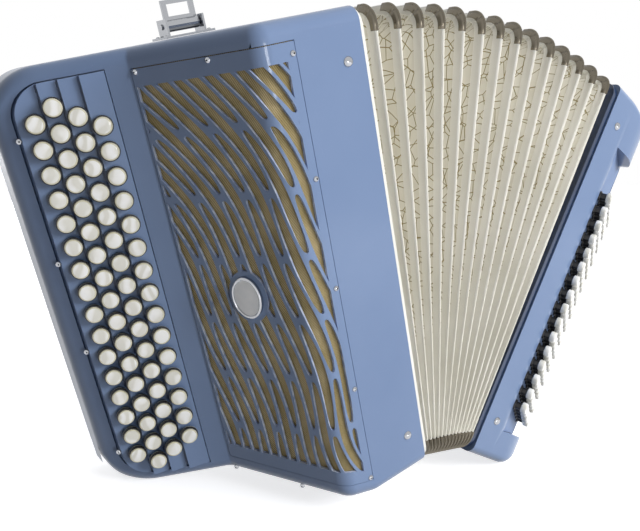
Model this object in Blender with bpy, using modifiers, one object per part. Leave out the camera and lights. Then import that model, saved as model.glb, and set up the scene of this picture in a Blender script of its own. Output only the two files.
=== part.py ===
"""Button accordion, standing open like a fan on the lower edges of its two casings.

Units are metres and +Z is up. The treble casing (buttons for the right hand) is on the left,
the bass casing (buttons for the left hand) on the right, and the front faces -Y.
Each casing is modelled upright in its own frame: x runs from the bellows edge (x = 0), y from the
front face back, z up from the bottom of the bellows. Two empties then lean the casings apart.
"""

import math

import bmesh
import bpy
from mathutils import Matrix, Vector

# Stance: how the two casings lean apart
OPEN_ANGLE = math.radians(41.7)
BELLOWS_FOOT = 0.058

# Casings
HEIGHT = 0.382
DEPTH = 0.190
WALL = 0.006
EDGE_ROUND = 0.004
CLEARANCE = 0.0003

# Treble casing plan
FRONT_FLAT = 0.084
BEND_RADIUS = 0.016
BEND_CUTS = 5
BEND_LAP = 0.0003
SLANT_ANGLE = math.radians(60.0)
SLANT_LENGTH = 0.108
FINGER_SLOPE = math.radians(33.0)
FINGER_LENGTH = 0.086
TREBLE_WIDTH = 0.226
KEYBOARD_FOOT = 0.026
FOOT_FLAT = 0.055
KEYBOARD_CORNER = 0.036

# Grille in the front of the treble casing
GRILLE_FROM_BELLOWS = 0.057
GRILLE_END_MARGIN = 0.0145
GRILLE_THICKNESS = 0.002
GRILLE_VALLEY_MARGIN = 0.0012
MESH_THICKNESS = 0.0008
GRILLE_WAVES = 9
LEAF_RIB = 0.0015
LEAF_STEPS = 5
LEAF_LENGTH = 0.116
LEAF_PITCH = 0.122
WAVE_DRIFT = 0.12
LEAF_SHEAR = 0.35
LEAF_SPARE = 7
GRILLE_FRAME = 0.013
GRILLE_SIDE_FRAME = 0.008
GRILLE_VALLEY_FRAME = 0.0025
GRILLE_PROUD = 0.0004
BADGE_LENGTH = 0.034
BADGE_WIDTH = 0.025
BADGE_HEIGHT = 0.0035
BADGE_FROM_BEND = 0.042

# Treble buttons
ROW_STARTS = (0.5, 0.0, 0.5, 1.0)
BUTTON_PITCH = 0.0186
BUTTON_TOP_MARGIN = 0.0304
BUTTON_FOOT_MARGIN = 0.0535
ROW_SPACING = 0.01546
TREAD_TILT = math.radians(18.0)
FIRST_BUTTON_TOP = (-0.2045, 0.1227)
BUTTON_RADIUS = 0.0076
BUTTON_CAP = 0.0045
BUTTON_STAND = 0.0088
BUTTON_TRAVEL = 0.0035
STEM_RADIUS = 0.0028
STEM_SIDES = 6
HOLE_CLEARANCE = 0.0006
FINGERBOARD_LEFT = 0.0195
TREAD_SHIFT = 0.0005
FINGERBOARD_RIGHT = 0.0105
FINGERBOARD_THICKNESS = 0.005
FINGERBOARD_FOOT = 0.0335
FINGERBOARD_TOP_MARGIN = 0.0125
FINGERBOARD_LEDGE = 0.0035
FINGERBOARD_BORDER = 0.0065
RAIL_SIZE = (0.006, 0.003)
RAIL_GAP = 0.0015

# Bellows
FOLDS = 14
FOLD_DEPTH = 0.024
FOLD_WALL = 0.006
FOLD_CORNER = 0.004
FOLD_GAP = 0.0003
FOLD_STEPS = 6
BELLOWS_INSET = 0.0015
TREBLE_FRAME_THICKNESS = 0.004
BASS_FRAME_THICKNESS = 0.006
FRAME_BAR = 0.022

# Bass casing
BASS_WIDTH = 0.092
BASS_TOP_CORNER = 0.066
BASS_FOOT_CORNER = 0.044
BASS_FRONT_CORNER = 0.046
BASS_BACK_CORNER = 0.016
BOARD_FOOT = 0.030
BOARD_TOP_MARGIN = 0.052
BOARD_FRONT_EDGE = 0.030
BOARD_SLOPE = math.radians(26.0)
BOARD_LENGTH = 0.064
EAR_ROUND = 0.020
BOARD_THICKNESS = 0.003
BOARD_EDGE = 0.006
BASS_ROWS = 5
BASS_TOP_MARGIN = 0.044
BASS_PITCH = 0.0148
BASS_ROW_SPACING = 0.0115
BASS_FIRST_ROW = 0.0085
BASS_LOWEST_BUTTON = 0.058
BASS_COLUMN_SLANT = 0.0026
BASS_BUTTON_RADIUS = 0.0052
BASS_CAP = 0.003
BASS_STAND = 0.0125
BASS_TRAVEL = 0.004
BASS_BLADE = 0.003
BASS_SLOT_CLEARANCE = 0.0004
BASS_BLADE_DEPTH = 0.007

# Hand strap on the outer face of the bass casing
STRAP_WIDTH = 0.062
STRAP_THICKNESS = 0.006
STRAP_RISE = 0.030
STRAP_FROM_BACK = 0.050
STRAP_FOOT = 0.064
STRAP_TOP_MARGIN = 0.082
STRAP_ANCHOR = (0.016, 0.070, 0.005)
WHEEL_RADIUS = 0.010
WHEEL_THICKNESS = 0.008
AIR_BUTTON_RADIUS = 0.008
AIR_BUTTON_TRAVEL = 0.005
AIR_BUTTON_STAND = 0.009
AIR_BUTTON_FROM_STRAP = 0.023
AIR_BUTTON_TOP_MARGIN = 0.075

# Shoulder strap bracket on top
BRACKET_PLACE = (-0.087, 0.100)
BRACKET_PLATE = (0.040, 0.026, 0.0016)
BRACKET_EAR = (0.0016, 0.016, 0.0135)
BRACKET_PIN_RADIUS = 0.0018
BRACKET_PIN_HEIGHT = 0.0085
LOOP_WIDTH = 0.026
LOOP_LENGTH = 0.018
LOOP_SLIT = (0.0065, 0.0150)
LOOP_THICKNESS = 0.0022

# Inside: sound boards and reed blocks
SOUNDBOARD_THICKNESS = 0.004
TREBLE_SOUNDBOARD_X = -0.050
BASS_SOUNDBOARD_X = 0.024
BLOCK_THICKNESS = 0.016
BLOCK_HEIGHT = 0.250
TREBLE_BLOCKS = 3
BASS_BLOCKS = 2
BLOCK_PITCH = 0.040

# Pins that hold the casings on the bellows frames
PIN_HEAD = 0.0038
PIN_DOME = 0.0022
PIN_IN = 0.0155
PIN_END = 0.0365

ARC_STEP = math.radians(15.0)
ARC_ROOM = 0.98


def collection(name):
    made = bpy.data.collections.new(name)
    bpy.context.scene.collection.children.link(made)
    return made


def clear_scene():
    for obj in list(bpy.data.objects):
        bpy.data.objects.remove(obj, do_unlink=True)


def material(name, colour, roughness, metallic=0.0):
    """A Principled BSDF finish, made once for each name."""
    found = bpy.data.materials.get(name)
    if found:
        return found
    made = bpy.data.materials.new(name)
    made.use_nodes = True
    shader = made.node_tree.nodes["Principled BSDF"]
    shader.inputs["Base Color"].default_value = (*colour, 1.0)
    shader.inputs["Roughness"].default_value = roughness
    shader.inputs["Metallic"].default_value = metallic
    return made


clear_scene()
PARTS = collection("button_accordion")
CUTTERS = collection("cutters")

BLUE = ("blue lacquer", (0.27, 0.35, 0.58), 0.25)
NAVY = ("navy lacquer", (0.03, 0.05, 0.10), 0.35)
GOLD_MESH = ("gold mesh", (0.45, 0.36, 0.17), 0.45, 0.6)
PEARL = ("pearl plastic", (0.87, 0.85, 0.78), 0.2)
IVORY = ("ivory card", (0.72, 0.70, 0.60), 0.6)
CHROME = ("chrome", (0.8, 0.8, 0.8), 0.12, 1.0)
WOOD = ("spruce", (0.62, 0.45, 0.26), 0.55)
BLACK = ("black plastic", (0.01, 0.01, 0.012), 0.4)
LEATHER = ("black leather", (0.02, 0.02, 0.022), 0.5)
BADGE = ("white enamel", (0.85, 0.86, 0.86), 0.15)


def empty(name, parent=None, location=(0, 0, 0), turn_y=0.0):
    made = bpy.data.objects.new(name, None)
    made.location = location
    made.rotation_euler = (0, turn_y, 0)
    made.parent = parent
    PARTS.objects.link(made)
    return made


def add(name, mesh, parent, finish=None, smooth=False):
    """A part, when it has a finish, or else a hidden cutter."""
    obj = bpy.data.objects.new(name, mesh)
    obj.parent = parent
    if finish:
        PARTS.objects.link(obj)
        mesh.materials.append(material(*finish))
    else:
        CUTTERS.objects.link(obj)
        obj.hide_render = True
        obj.display_type = "WIRE"
    if smooth:
        mesh.shade_smooth()
        mesh.set_sharp_from_angle(angle=math.radians(40))
    return obj


def boolean(obj, other, operation="DIFFERENCE"):
    step = obj.modifiers.new(operation.lower(), "BOOLEAN")
    step.operation = operation
    step.object = other
    step.solver = "EXACT"
    return obj


def baked(obj):
    """The object with its modifiers made into plain mesh."""
    graph = bpy.context.evaluated_depsgraph_get()
    made = bpy.data.meshes.new_from_object(obj.evaluated_get(graph))
    obj.modifiers.clear()
    obj.data = made
    return obj


def rounded(corners):
    """A closed outline through (u, v, radius) corners, with round corners as arcs that fit their sides."""
    outline = []
    count = len(corners)
    places = [Vector(corner[:2]) for corner in corners]
    tangents = []
    for index, here in enumerate(places):
        opening = (places[index - 1] - here).angle(places[(index + 1) % count] - here)
        tangents.append(corners[index][2] / math.tan(opening / 2))
    for index, here in enumerate(places):
        to_last = places[index - 1] - here
        to_next = places[(index + 1) % count] - here
        opening = to_last.angle(to_next)
        if tangents[index] == 0 or abs(opening - math.pi) < 1e-4:
            outline.append(here)
            continue
        last_room = to_last.length / (tangents[index] + tangents[index - 1])
        next_room = to_next.length / (tangents[index] + tangents[(index + 1) % count])
        radius = corners[index][2] * min(1.0, ARC_ROOM * last_room, ARC_ROOM * next_room)
        to_last.normalize()
        to_next.normalize()
        middle = here + (to_last + to_next).normalized() * radius / math.sin(opening / 2)
        start = here + to_last * radius / math.tan(opening / 2) - middle
        sweep = start.angle_signed(here + to_next * radius / math.tan(opening / 2) - middle)
        steps = max(1, math.ceil(abs(sweep) / ARC_STEP))
        for step in range(steps + 1):
            outline.append(middle + Matrix.Rotation(-sweep * step / steps, 2) @ start)
    return outline


# Where an outline's own (u, v) and its thickness lie: along z, y or x
ALONG = {
    "z": Matrix.Identity(4),
    "y": Matrix.Rotation(math.radians(90), 4, "X"),
    "x": Matrix(((0, 0, 1, 0), (1, 0, 0, 0), (0, 1, 0, 0), (0, 0, 0, 1))),
}


def prism_mesh(outlines, low, high, along="z"):
    """Closed outlines, the later ones holes, extruded from low to high along an axis."""
    curve = bpy.data.curves.new("outline", "CURVE")
    curve.dimensions = "2D"
    curve.fill_mode = "BOTH"
    curve.extrude = (high - low) / 2
    for outline in outlines:
        spline = curve.splines.new("POLY")
        spline.points.add(len(outline) - 1)
        for point, (u, v) in zip(spline.points, outline):
            point.co = (u, v, 0, 1)
        spline.use_cyclic_u = True
    holder = bpy.data.objects.new("outline", curve)
    CUTTERS.objects.link(holder)
    graph = bpy.context.evaluated_depsgraph_get()
    mesh = bpy.data.meshes.new_from_object(holder.evaluated_get(graph))
    bpy.data.objects.remove(holder)
    centre = (low + high) / 2 * (-1 if along == "y" else 1)
    shape = bmesh.new()
    shape.from_mesh(mesh)
    bmesh.ops.remove_doubles(shape, verts=shape.verts, dist=1e-6)
    bmesh.ops.transform(shape, verts=shape.verts, matrix=ALONG[along] @ Matrix.Translation((0, 0, centre)))
    bmesh.ops.recalc_face_normals(shape, faces=shape.faces)
    shape.to_mesh(mesh)
    shape.free()
    return mesh


def box_mesh(low, high):
    shape = bmesh.new()
    bmesh.ops.create_cube(shape, size=1.0)
    size = Vector(high) - Vector(low)
    middle = (Vector(high) + Vector(low)) / 2
    bmesh.ops.transform(
        shape, verts=shape.verts, matrix=Matrix.Translation(middle) @ Matrix.Diagonal((*size, 1))
    )
    mesh = bpy.data.meshes.new("box")
    shape.to_mesh(mesh)
    shape.free()
    return mesh


def rods_mesh(rods, sides):
    """Cylinders as (end, end, radius), all in one mesh."""
    shape = bmesh.new()
    for start, end, radius in rods:
        start, end = Vector(start), Vector(end)
        run = end - start
        turn = run.to_track_quat("Z", "Y").to_matrix().to_4x4()
        bmesh.ops.create_cone(
            shape,
            cap_ends=True,
            segments=sides,
            radius1=radius,
            radius2=radius,
            depth=run.length,
            matrix=Matrix.Translation((start + end) / 2) @ turn,
        )
    mesh = bpy.data.meshes.new("rods")
    shape.to_mesh(mesh)
    shape.free()
    return mesh


def lean(point, angle):
    """A point of an upright frame after it leans by an angle about Y."""
    return Matrix.Rotation(angle, 3, "Y") @ Vector(point)


# Outlines of the two casings
BEND = Vector((-FRONT_FLAT, 0))
SLANT_WAY = Vector((-math.cos(SLANT_ANGLE), math.sin(SLANT_ANGLE)))
SLANT_OUT = Vector((-math.sin(SLANT_ANGLE), -math.cos(SLANT_ANGLE)))
VALLEY = BEND + SLANT_WAY * SLANT_LENGTH
FINGER_WAY = Vector((-math.cos(FINGER_SLOPE), math.sin(FINGER_SLOPE)))
FINGER_END = VALLEY + FINGER_WAY * FINGER_LENGTH


def treble_plan(inset):
    """The casing seen from above, drawn in by an inset on every side but the bellows'."""
    slant_in = -SLANT_OUT * inset
    finger_in = Vector((math.sin(FINGER_SLOPE), math.cos(FINGER_SLOPE))) * inset
    side = -TREBLE_WIDTH + inset
    bend_share = math.tan(SLANT_ANGLE / 2)
    bend = Vector((-FRONT_FLAT + inset * bend_share, inset))
    turn = SLANT_WAY.angle(FINGER_WAY) / 2
    valley_in = (slant_in + finger_in).normalized() * inset / math.cos(turn)
    valley = VALLEY + valley_in
    edge_in = FINGER_END + finger_in
    edge = edge_in + FINGER_WAY * ((side - edge_in.x) / FINGER_WAY.x)
    return rounded(
        [
            (0.0, inset, 0),
            (0.0, DEPTH - inset, 0),
            (side, DEPTH - inset, max(0.014 - inset, 0.004)),
            (*edge, max(0.016 - inset, 0.004)),
            (*valley, 0),
            (*bend, max(BEND_RADIUS - inset, 0.004)),
        ]
    )


def treble_front(inset):
    """The casing seen from the front, as (x, z)."""
    side = -TREBLE_WIDTH + inset
    rise = KEYBOARD_FOOT
    slope = math.atan2(rise, -VALLEY.x - FOOT_FLAT)
    nudge = inset * math.tan(slope / 2)
    corner = max(KEYBOARD_CORNER - inset, 0.006)
    return rounded(
        [
            (0.0, inset, 0),
            (0.0, HEIGHT - inset, 0),
            (side, HEIGHT - inset, corner),
            (side, rise + inset, corner),
            (VALLEY.x + nudge, rise + inset, 0),
            (-FOOT_FLAT + nudge, inset, 0),
        ]
    )


BOARD_WAY = Vector((math.cos(BOARD_SLOPE), math.sin(BOARD_SLOPE)))
BOARD_OUT = Vector((math.sin(BOARD_SLOPE), -math.cos(BOARD_SLOPE)))
BOARD_START = Vector((BOARD_FRONT_EDGE, 0.0))
BOARD_TOP = HEIGHT - BOARD_TOP_MARGIN
BASS_COLUMNS = int((BOARD_TOP - BASS_TOP_MARGIN - BASS_LOWEST_BUTTON) / BASS_PITCH) + 1


def bass_plan(inset):
    """The casing seen from above, drawn in on every side but the bellows'."""
    side = BASS_WIDTH - inset
    return rounded(
        [
            (0.0, inset, 0),
            (side, inset, max(BASS_FRONT_CORNER - inset, 0.004)),
            (side, DEPTH - inset, max(BASS_BACK_CORNER - inset, 0.004)),
            (0.0, DEPTH - inset, 0),
        ]
    )


def bass_front(inset):
    """The casing seen from the front, as (x, z)."""
    side = BASS_WIDTH - inset
    return rounded(
        [
            (0.0, inset, 0),
            (side, inset, BASS_FOOT_CORNER - inset),
            (side, HEIGHT - inset, BASS_TOP_CORNER - inset),
            (0.0, HEIGHT - inset, 0),
        ]
    )


def lowest(outline, side, angle, middle):
    """How low an outline reaches when its casing leans, with the fan's hinge at height 0."""
    foot = lean((side * BELLOWS_FOOT / 2, 0, 0), middle)
    return min((foot + lean((x, 0, z), angle)).z for x, z in outline)


def level_lean():
    """The treble lean at which both casings touch the floor for this opening of the fan."""
    least, most = 0.0, OPEN_ANGLE
    for step in range(40):
        trial = (least + most) / 2
        middle = OPEN_ANGLE / 2 - trial
        treble = lowest(treble_front(0), -1, -trial, middle)
        bass = lowest(bass_front(0), 1, OPEN_ANGLE - trial, middle)
        if treble > bass:
            least = trial
        else:
            most = trial
    return (least + most) / 2


TREBLE_LEAN = level_lean()
BASS_LEAN = OPEN_ANGLE - TREBLE_LEAN

# Frames: the fan turns about an axis along Y through the middle of the bellows' foot
ACCORDION = empty("accordion")
FAN_MIDDLE = (BASS_LEAN - TREBLE_LEAN) / 2
TREBLE_FOOT = lean((-BELLOWS_FOOT / 2, 0, 0), FAN_MIDDLE)
BASS_FOOT = lean((BELLOWS_FOOT / 2, 0, 0), FAN_MIDDLE)
TREBLE = empty("treble_frame", ACCORDION, TREBLE_FOOT, -TREBLE_LEAN)
BELLOWS_HINGE = empty("bellows_hinge", ACCORDION)
BASS = empty("bass_frame", BELLOWS_HINGE, BASS_FOOT, BASS_LEAN)


# Treble casing
def casing_shell(name, parent, finish, plan, front):
    """A casing as the shape that its plan and its front outline both allow, and the hollow inside it."""
    solid = add(name, prism_mesh([plan(0)], -0.01, HEIGHT + 0.01), parent, finish)
    front_solid = prism_mesh([front(0)], -0.01, DEPTH + 0.01, "y")
    boolean(solid, add(name + "_front", front_solid, parent), "INTERSECT")
    baked(solid)
    bevel = solid.modifiers.new("edges", "BEVEL")
    bevel.width = EDGE_ROUND
    bevel.segments = 2
    bevel.limit_method = "ANGLE"
    bevel.angle_limit = math.radians(35)
    baked(solid)
    hollow = add(name + "_hollow", prism_mesh([plan(WALL)], -0.01, HEIGHT + 0.01), parent)
    front_hollow = prism_mesh([front(WALL)], -0.01, DEPTH + 0.01, "y")
    boolean(hollow, add(name + "_hollow_front", front_hollow, parent), "INTERSECT")
    baked(hollow)
    return solid, hollow


def opened(hollow, way):
    """Stretches the open side of a hollow out past the bellows edge."""
    for vertex in hollow.data.vertices:
        if abs(vertex.co.x) < 1e-6:
            vertex.co.x += way * 0.02
    return hollow


treble_casing, treble_hollow = casing_shell("treble_casing", TREBLE, BLUE, treble_plan, treble_front)
boolean(treble_casing, opened(treble_hollow, 1))

# Grille: drawn flat as (u, z), u running from the bellows side towards the keyboard, then bent to the casing
BEND_TANGENT = BEND_RADIUS * math.tan(SLANT_ANGLE / 2)
BEND_START = FRONT_FLAT - BEND_TANGENT - GRILLE_FROM_BELLOWS
BEND_END = BEND_START + BEND_RADIUS * SLANT_ANGLE
GRILLE_LENGTH = BEND_END + SLANT_LENGTH - BEND_TANGENT - GRILLE_VALLEY_MARGIN
FOOT_SLOPE = KEYBOARD_FOOT / (-VALLEY.x - FOOT_FLAT)


def on_front(u, depth):
    """The place on the bent front, at a depth below its surface."""
    flat_end = Vector((-FRONT_FLAT + BEND_TANGENT, 0))
    if u < BEND_START:
        return Vector((-GRILLE_FROM_BELLOWS - u, depth))
    if u < BEND_END:
        turn = (u - BEND_START) / BEND_RADIUS
        radius = BEND_RADIUS - depth
        return flat_end + Vector((-radius * math.sin(turn), BEND_RADIUS - radius * math.cos(turn)))
    start = BEND + SLANT_WAY * BEND_TANGENT
    return start + SLANT_WAY * (u - BEND_END) - SLANT_OUT * depth


def bent(mesh, cuts=BEND_CUTS, lap=BEND_LAP):
    """Bends a flat (u, depth, z) mesh round the front of the casing, a lap past each end of the bend."""
    shape = bmesh.new()
    shape.from_mesh(mesh)
    for step in range(cuts + 1):
        cut = BEND_START - lap + (BEND_END - BEND_START + 2 * lap) * step / cuts
        everything = shape.verts[:] + shape.edges[:] + shape.faces[:]
        bmesh.ops.bisect_plane(shape, geom=everything, plane_co=(cut, 0, 0), plane_no=(1, 0, 0), dist=1e-6)
    for vertex in shape.verts:
        place = on_front(vertex.co.x, vertex.co.y)
        vertex.co.x = place.x
        vertex.co.y = place.y
    bmesh.ops.remove_doubles(shape, verts=shape.verts, dist=1e-6)
    bmesh.ops.recalc_face_normals(shape, faces=shape.faces)
    shape.to_mesh(mesh)
    shape.free()
    return mesh


def grille_outline(side, ends, valley):
    """The grille's outline, drawn in at its sides and ends, with the rise of the casing's foot."""
    foot = [(u, -on_front(u, 0).x) for u in (GRILLE_LENGTH, BEND_END, BEND_START, 0)]
    top = HEIGHT - GRILLE_END_MARGIN - ends
    last = GRILLE_LENGTH - valley
    outline = [(side, top), (last, top)]
    for u, reach in foot:
        rise = max(0.0, reach - FOOT_FLAT) * FOOT_SLOPE
        outline.append((min(max(u, side), last), GRILLE_END_MARGIN + rise + ends))
    return outline


def even_outline(inset):
    return grille_outline(inset, inset, inset)


def wave(z, u):
    """How far a point of the leaf pattern is shifted sideways."""
    phase = u / WAVE_DRIFT
    long_wave = 0.020 * math.sin(2 * math.pi * z / 0.34 + phase)
    short_wave = 0.008 * math.sin(2 * math.pi * z / 0.19 + 2.1 * phase)
    return u + LEAF_SHEAR * (z - HEIGHT / 2) + long_wave + short_wave


def leaf(u, z, length, width):
    """A slender opening with pointed ends that follows the wave of the grille."""
    sides = []
    for side in (1, -1):
        for step in range(LEAF_STEPS):
            turn = math.pi * step / LEAF_STEPS
            along = z - length / 2 * math.cos(turn) * side
            half = width / 2 * math.sin(turn) ** 0.6 * side
            sides.append((wave(along, u + half), along))
    return sides


def badge_outline(grow):
    middle = (BEND_END + BADGE_FROM_BEND, HEIGHT / 2)
    ring = []
    for step in range(24):
        turn = 2 * math.pi * step / 24
        across = (BADGE_WIDTH / 2 + grow) * math.cos(turn)
        ring.append((middle[0] + across, middle[1] + (BADGE_LENGTH / 2 + grow) * math.sin(turn)))
    return ring


front_opening = add("front_opening", bent(prism_mesh([even_outline(0)], -0.004, 0.0036, "y")), TREBLE)
window_mesh = bent(prism_mesh([even_outline(0.005)], 0.001, 0.012, "y"), BEND_CUTS + 2, 2 * BEND_LAP)
front_window = add("front_window", window_mesh, TREBLE)
boolean(treble_casing, front_opening)
boolean(treble_casing, front_window)

leaves = []
for column in range(-LEAF_SPARE, GRILLE_WAVES + LEAF_SPARE):
    for level in range(5):
        leaf_u = column * GRILLE_LENGTH / GRILLE_WAVES
        leaf_z = (level - 0.25 + 0.5 * (column % 2)) * LEAF_PITCH
        leaves.append(leaf(leaf_u, leaf_z, LEAF_LENGTH, GRILLE_LENGTH / GRILLE_WAVES - LEAF_RIB))
grille_plate = prism_mesh([even_outline(CLEARANCE)], -GRILLE_PROUD, GRILLE_THICKNESS, "y")
front_grille = add("front_grille", grille_plate, TREBLE, BLUE)
window_outline = grille_outline(GRILLE_SIDE_FRAME, GRILLE_FRAME, GRILLE_VALLEY_FRAME)
window = add("leaf_window", prism_mesh([window_outline], -0.01, 0.01, "y"), TREBLE)
boolean(window, add("badge_island", prism_mesh([badge_outline(0.004)], -0.02, 0.02, "y"), TREBLE))
baked(window)
shape = bmesh.new()
for outline in leaves:
    piece = prism_mesh([outline], -0.008, 0.008, "y")
    shape.from_mesh(piece)
leaf_mesh = bpy.data.meshes.new("leaves")
shape.to_mesh(leaf_mesh)
shape.free()
leaf_cutter = add("leaf_cutter", leaf_mesh, TREBLE)
boolean(leaf_cutter, window, "INTERSECT")
baked(leaf_cutter)
boolean(front_grille, leaf_cutter)
baked(front_grille)
bent(front_grille.data)

MESH_TOP = GRILLE_THICKNESS + CLEARANCE
grille_mesh = bent(prism_mesh([even_outline(CLEARANCE)], MESH_TOP, MESH_TOP + MESH_THICKNESS, "y"))
add("grille_mesh", grille_mesh, TREBLE, GOLD_MESH)
badge_back = -GRILLE_PROUD - CLEARANCE
badge = bent(prism_mesh([badge_outline(0)], badge_back - BADGE_HEIGHT, badge_back, "y"))
add("grille_badge", badge, TREBLE, BADGE)

# Fingerboard: four long treads, each row a step nearer the front than the row outside it
TREAD_OUT = Vector((-math.sin(TREAD_TILT), -math.cos(TREAD_TILT)))
TREAD_WAY = Vector((math.cos(TREAD_TILT), -math.sin(TREAD_TILT)))
TREAD_HALF = ROW_SPACING * math.cos(FINGER_SLOPE - TREAD_TILT) / 2
ROWS = len(ROW_STARTS)
LONGEST_ROW = int((HEIGHT - BUTTON_TOP_MARGIN - BUTTON_FOOT_MARGIN) / BUTTON_PITCH) + 1
ROW_COUNTS = [LONGEST_ROW - round(2 * start) for start in ROW_STARTS]
FINGERBOARD_ENDS = (FINGERBOARD_FOOT, HEIGHT - FINGERBOARD_TOP_MARGIN)


def row_top(row):
    """Where the top of a row's buttons lies in plan."""
    return Vector(FIRST_BUTTON_TOP) - FINGER_WAY * ROW_SPACING * row


def row_tread(row):
    return row_top(row) - TREAD_OUT * BUTTON_STAND


def fingerboard_plan(grow):
    """The stepped plate seen from above, with a flat back, grown by a clearance at its two sides."""
    stairs = [row_tread(0) - TREAD_WAY * (FINGERBOARD_LEFT + grow)]
    for row in range(ROWS):
        if row:
            stairs.append(row_tread(row) - TREAD_WAY * (TREAD_HALF - TREAD_SHIFT))
        reach = TREAD_HALF + TREAD_SHIFT if row < ROWS - 1 else FINGERBOARD_RIGHT + grow
        stairs.append(row_tread(row) + TREAD_WAY * reach)
    back = Vector((math.sin(FINGER_SLOPE), math.cos(FINGER_SLOPE)))
    lowest = max(point.dot(back) for point in stairs)
    floor = lowest + FINGERBOARD_THICKNESS + grow
    left_back = stairs[0] + back * (floor - stairs[0].dot(back))
    right_back = stairs[-1] + back * (floor - stairs[-1].dot(back))
    return stairs + [right_back, left_back], back


def button_height(row, place):
    return HEIGHT - BUTTON_TOP_MARGIN - (ROW_STARTS[row] + place) * BUTTON_PITCH


def row_rods(row, near, far, radius):
    """A rod under each button of a row, between two heights above its tread."""
    rods = []
    tread = row_tread(row)
    for place in range(ROW_COUNTS[row]):
        z = button_height(row, place)
        start = tread + TREAD_OUT * near
        end = tread + TREAD_OUT * far
        rods.append(((*start, z), (*end, z), radius))
    return rods


plan, FINGER_IN = fingerboard_plan(0)
fingerboard = add("fingerboard", prism_mesh([plan], *FINGERBOARD_ENDS), TREBLE, BLUE)
board_front = prism_mesh([treble_front(FINGERBOARD_BORDER)], -0.01, DEPTH + 0.01, "y")
boolean(fingerboard, add("board_front", board_front, TREBLE), "INTERSECT")
hole_rods = []
for row in range(ROWS):
    hole_rods += row_rods(row, -0.06, 0.03, STEM_RADIUS + HOLE_CLEARANCE)
boolean(fingerboard, add("stem_holes", rods_mesh(hole_rods, STEM_SIDES), TREBLE))

board_low = FINGERBOARD_ENDS[0] - CLEARANCE
board_high = FINGERBOARD_ENDS[1] + CLEARANCE
opening_plan = fingerboard_plan(CLEARANCE)[0]
lift = -FINGER_IN * 0.03
left, right_back, left_back, right = opening_plan[0], opening_plan[-2], opening_plan[-1], opening_plan[-3]
opening_plan = [left + lift, left, left_back, right_back, right, right + lift]
finger_opening = add("finger_opening", prism_mesh([opening_plan], board_low, board_high), TREBLE)
opening_front = prism_mesh([treble_front(FINGERBOARD_BORDER - CLEARANCE)], -0.01, DEPTH + 0.01, "y")
boolean(finger_opening, add("opening_front", opening_front, TREBLE), "INTERSECT")
baked(finger_opening)
boolean(treble_casing, finger_opening)
board_near = (plan[-3] - VALLEY).dot(FINGER_WAY) + FINGERBOARD_LEDGE
board_far = (plan[0] - VALLEY).dot(FINGER_WAY) - FINGERBOARD_LEDGE
through_plan = []
for along, deep in ((board_near, -0.03), (board_near, 0.03), (board_far, 0.03), (board_far, -0.03)):
    through_plan.append(VALLEY + FINGER_WAY * along + FINGER_IN * deep)
through = prism_mesh([through_plan], board_low + 0.006, board_high - 0.006)
boolean(treble_casing, add("finger_through", through, TREBLE))

# Treble buttons: each row stands on a rail behind the fingerboard
plate_floor = plan[-1].dot(FINGER_IN)
for row in range(ROWS):
    tread = row_tread(row)
    plate = (plate_floor - tread.dot(FINGER_IN)) / (-TREAD_OUT).dot(FINGER_IN)
    under = plate + TREAD_HALF * math.tan(FINGER_SLOPE - TREAD_TILT) + RAIL_GAP
    middle = tread - TREAD_OUT * (under + RAIL_SIZE[1] / 2)
    top = button_height(row, 0) + RAIL_SIZE[0] / 2
    foot = button_height(row, ROW_COUNTS[row] - 1) - RAIL_SIZE[0] / 2
    rail = []
    for along, deep in ((-1, -1), (1, -1), (1, 1), (-1, 1)):
        rail.append(middle + TREAD_WAY * along * RAIL_SIZE[0] / 2 + TREAD_OUT * deep * RAIL_SIZE[1] / 2)
    name = f"treble_button_row_{row + 1}"
    buttons = add(name, prism_mesh([rail], foot, top), TREBLE, PEARL)
    stem_rods = row_rods(row, -under - RAIL_SIZE[1] / 2, BUTTON_STAND - BUTTON_CAP / 2, STEM_RADIUS)
    stems = rods_mesh(stem_rods, STEM_SIDES)
    boolean(buttons, add(name + "_stems", stems, TREBLE), "UNION")
    caps = rods_mesh(row_rods(row, BUTTON_STAND - BUTTON_CAP, BUTTON_STAND, BUTTON_RADIUS), 8)
    boolean(buttons, add(name + "_caps", caps, TREBLE), "UNION")

# Frames that the bellows are fixed to
def ring_outline(inset, corner):
    """A rectangle across the bellows, as (y, z), with its corners cut off."""
    low, high, foot, top = inset, DEPTH - inset, inset, HEIGHT - inset
    return [
        (low + corner, foot),
        (high - corner, foot),
        (high, foot + corner),
        (high, top - corner),
        (high - corner, top),
        (low + corner, top),
        (low, top - corner),
        (low, foot + corner),
    ]


frame_loops = [ring_outline(BELLOWS_INSET, FOLD_CORNER), ring_outline(FRAME_BAR, FOLD_CORNER)]
treble_frame = prism_mesh(frame_loops, CLEARANCE, TREBLE_FRAME_THICKNESS, "x")
add("treble_bellows_frame", treble_frame, TREBLE, IVORY)
bass_frame = prism_mesh(frame_loops, -BASS_FRAME_THICKNESS, -CLEARANCE, "x")
add("bass_bellows_frame", bass_frame, BASS, NAVY)

# Bellows folds: each a V-shaped ring between two of the fan's planes
FAN_START = TREBLE_FOOT + lean((TREBLE_FRAME_THICKNESS + CLEARANCE, 0, 0), -TREBLE_LEAN)
FAN_STOP = BASS_FOOT + lean((-BASS_FRAME_THICKNESS - CLEARANCE, 0, 0), BASS_LEAN)


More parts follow.
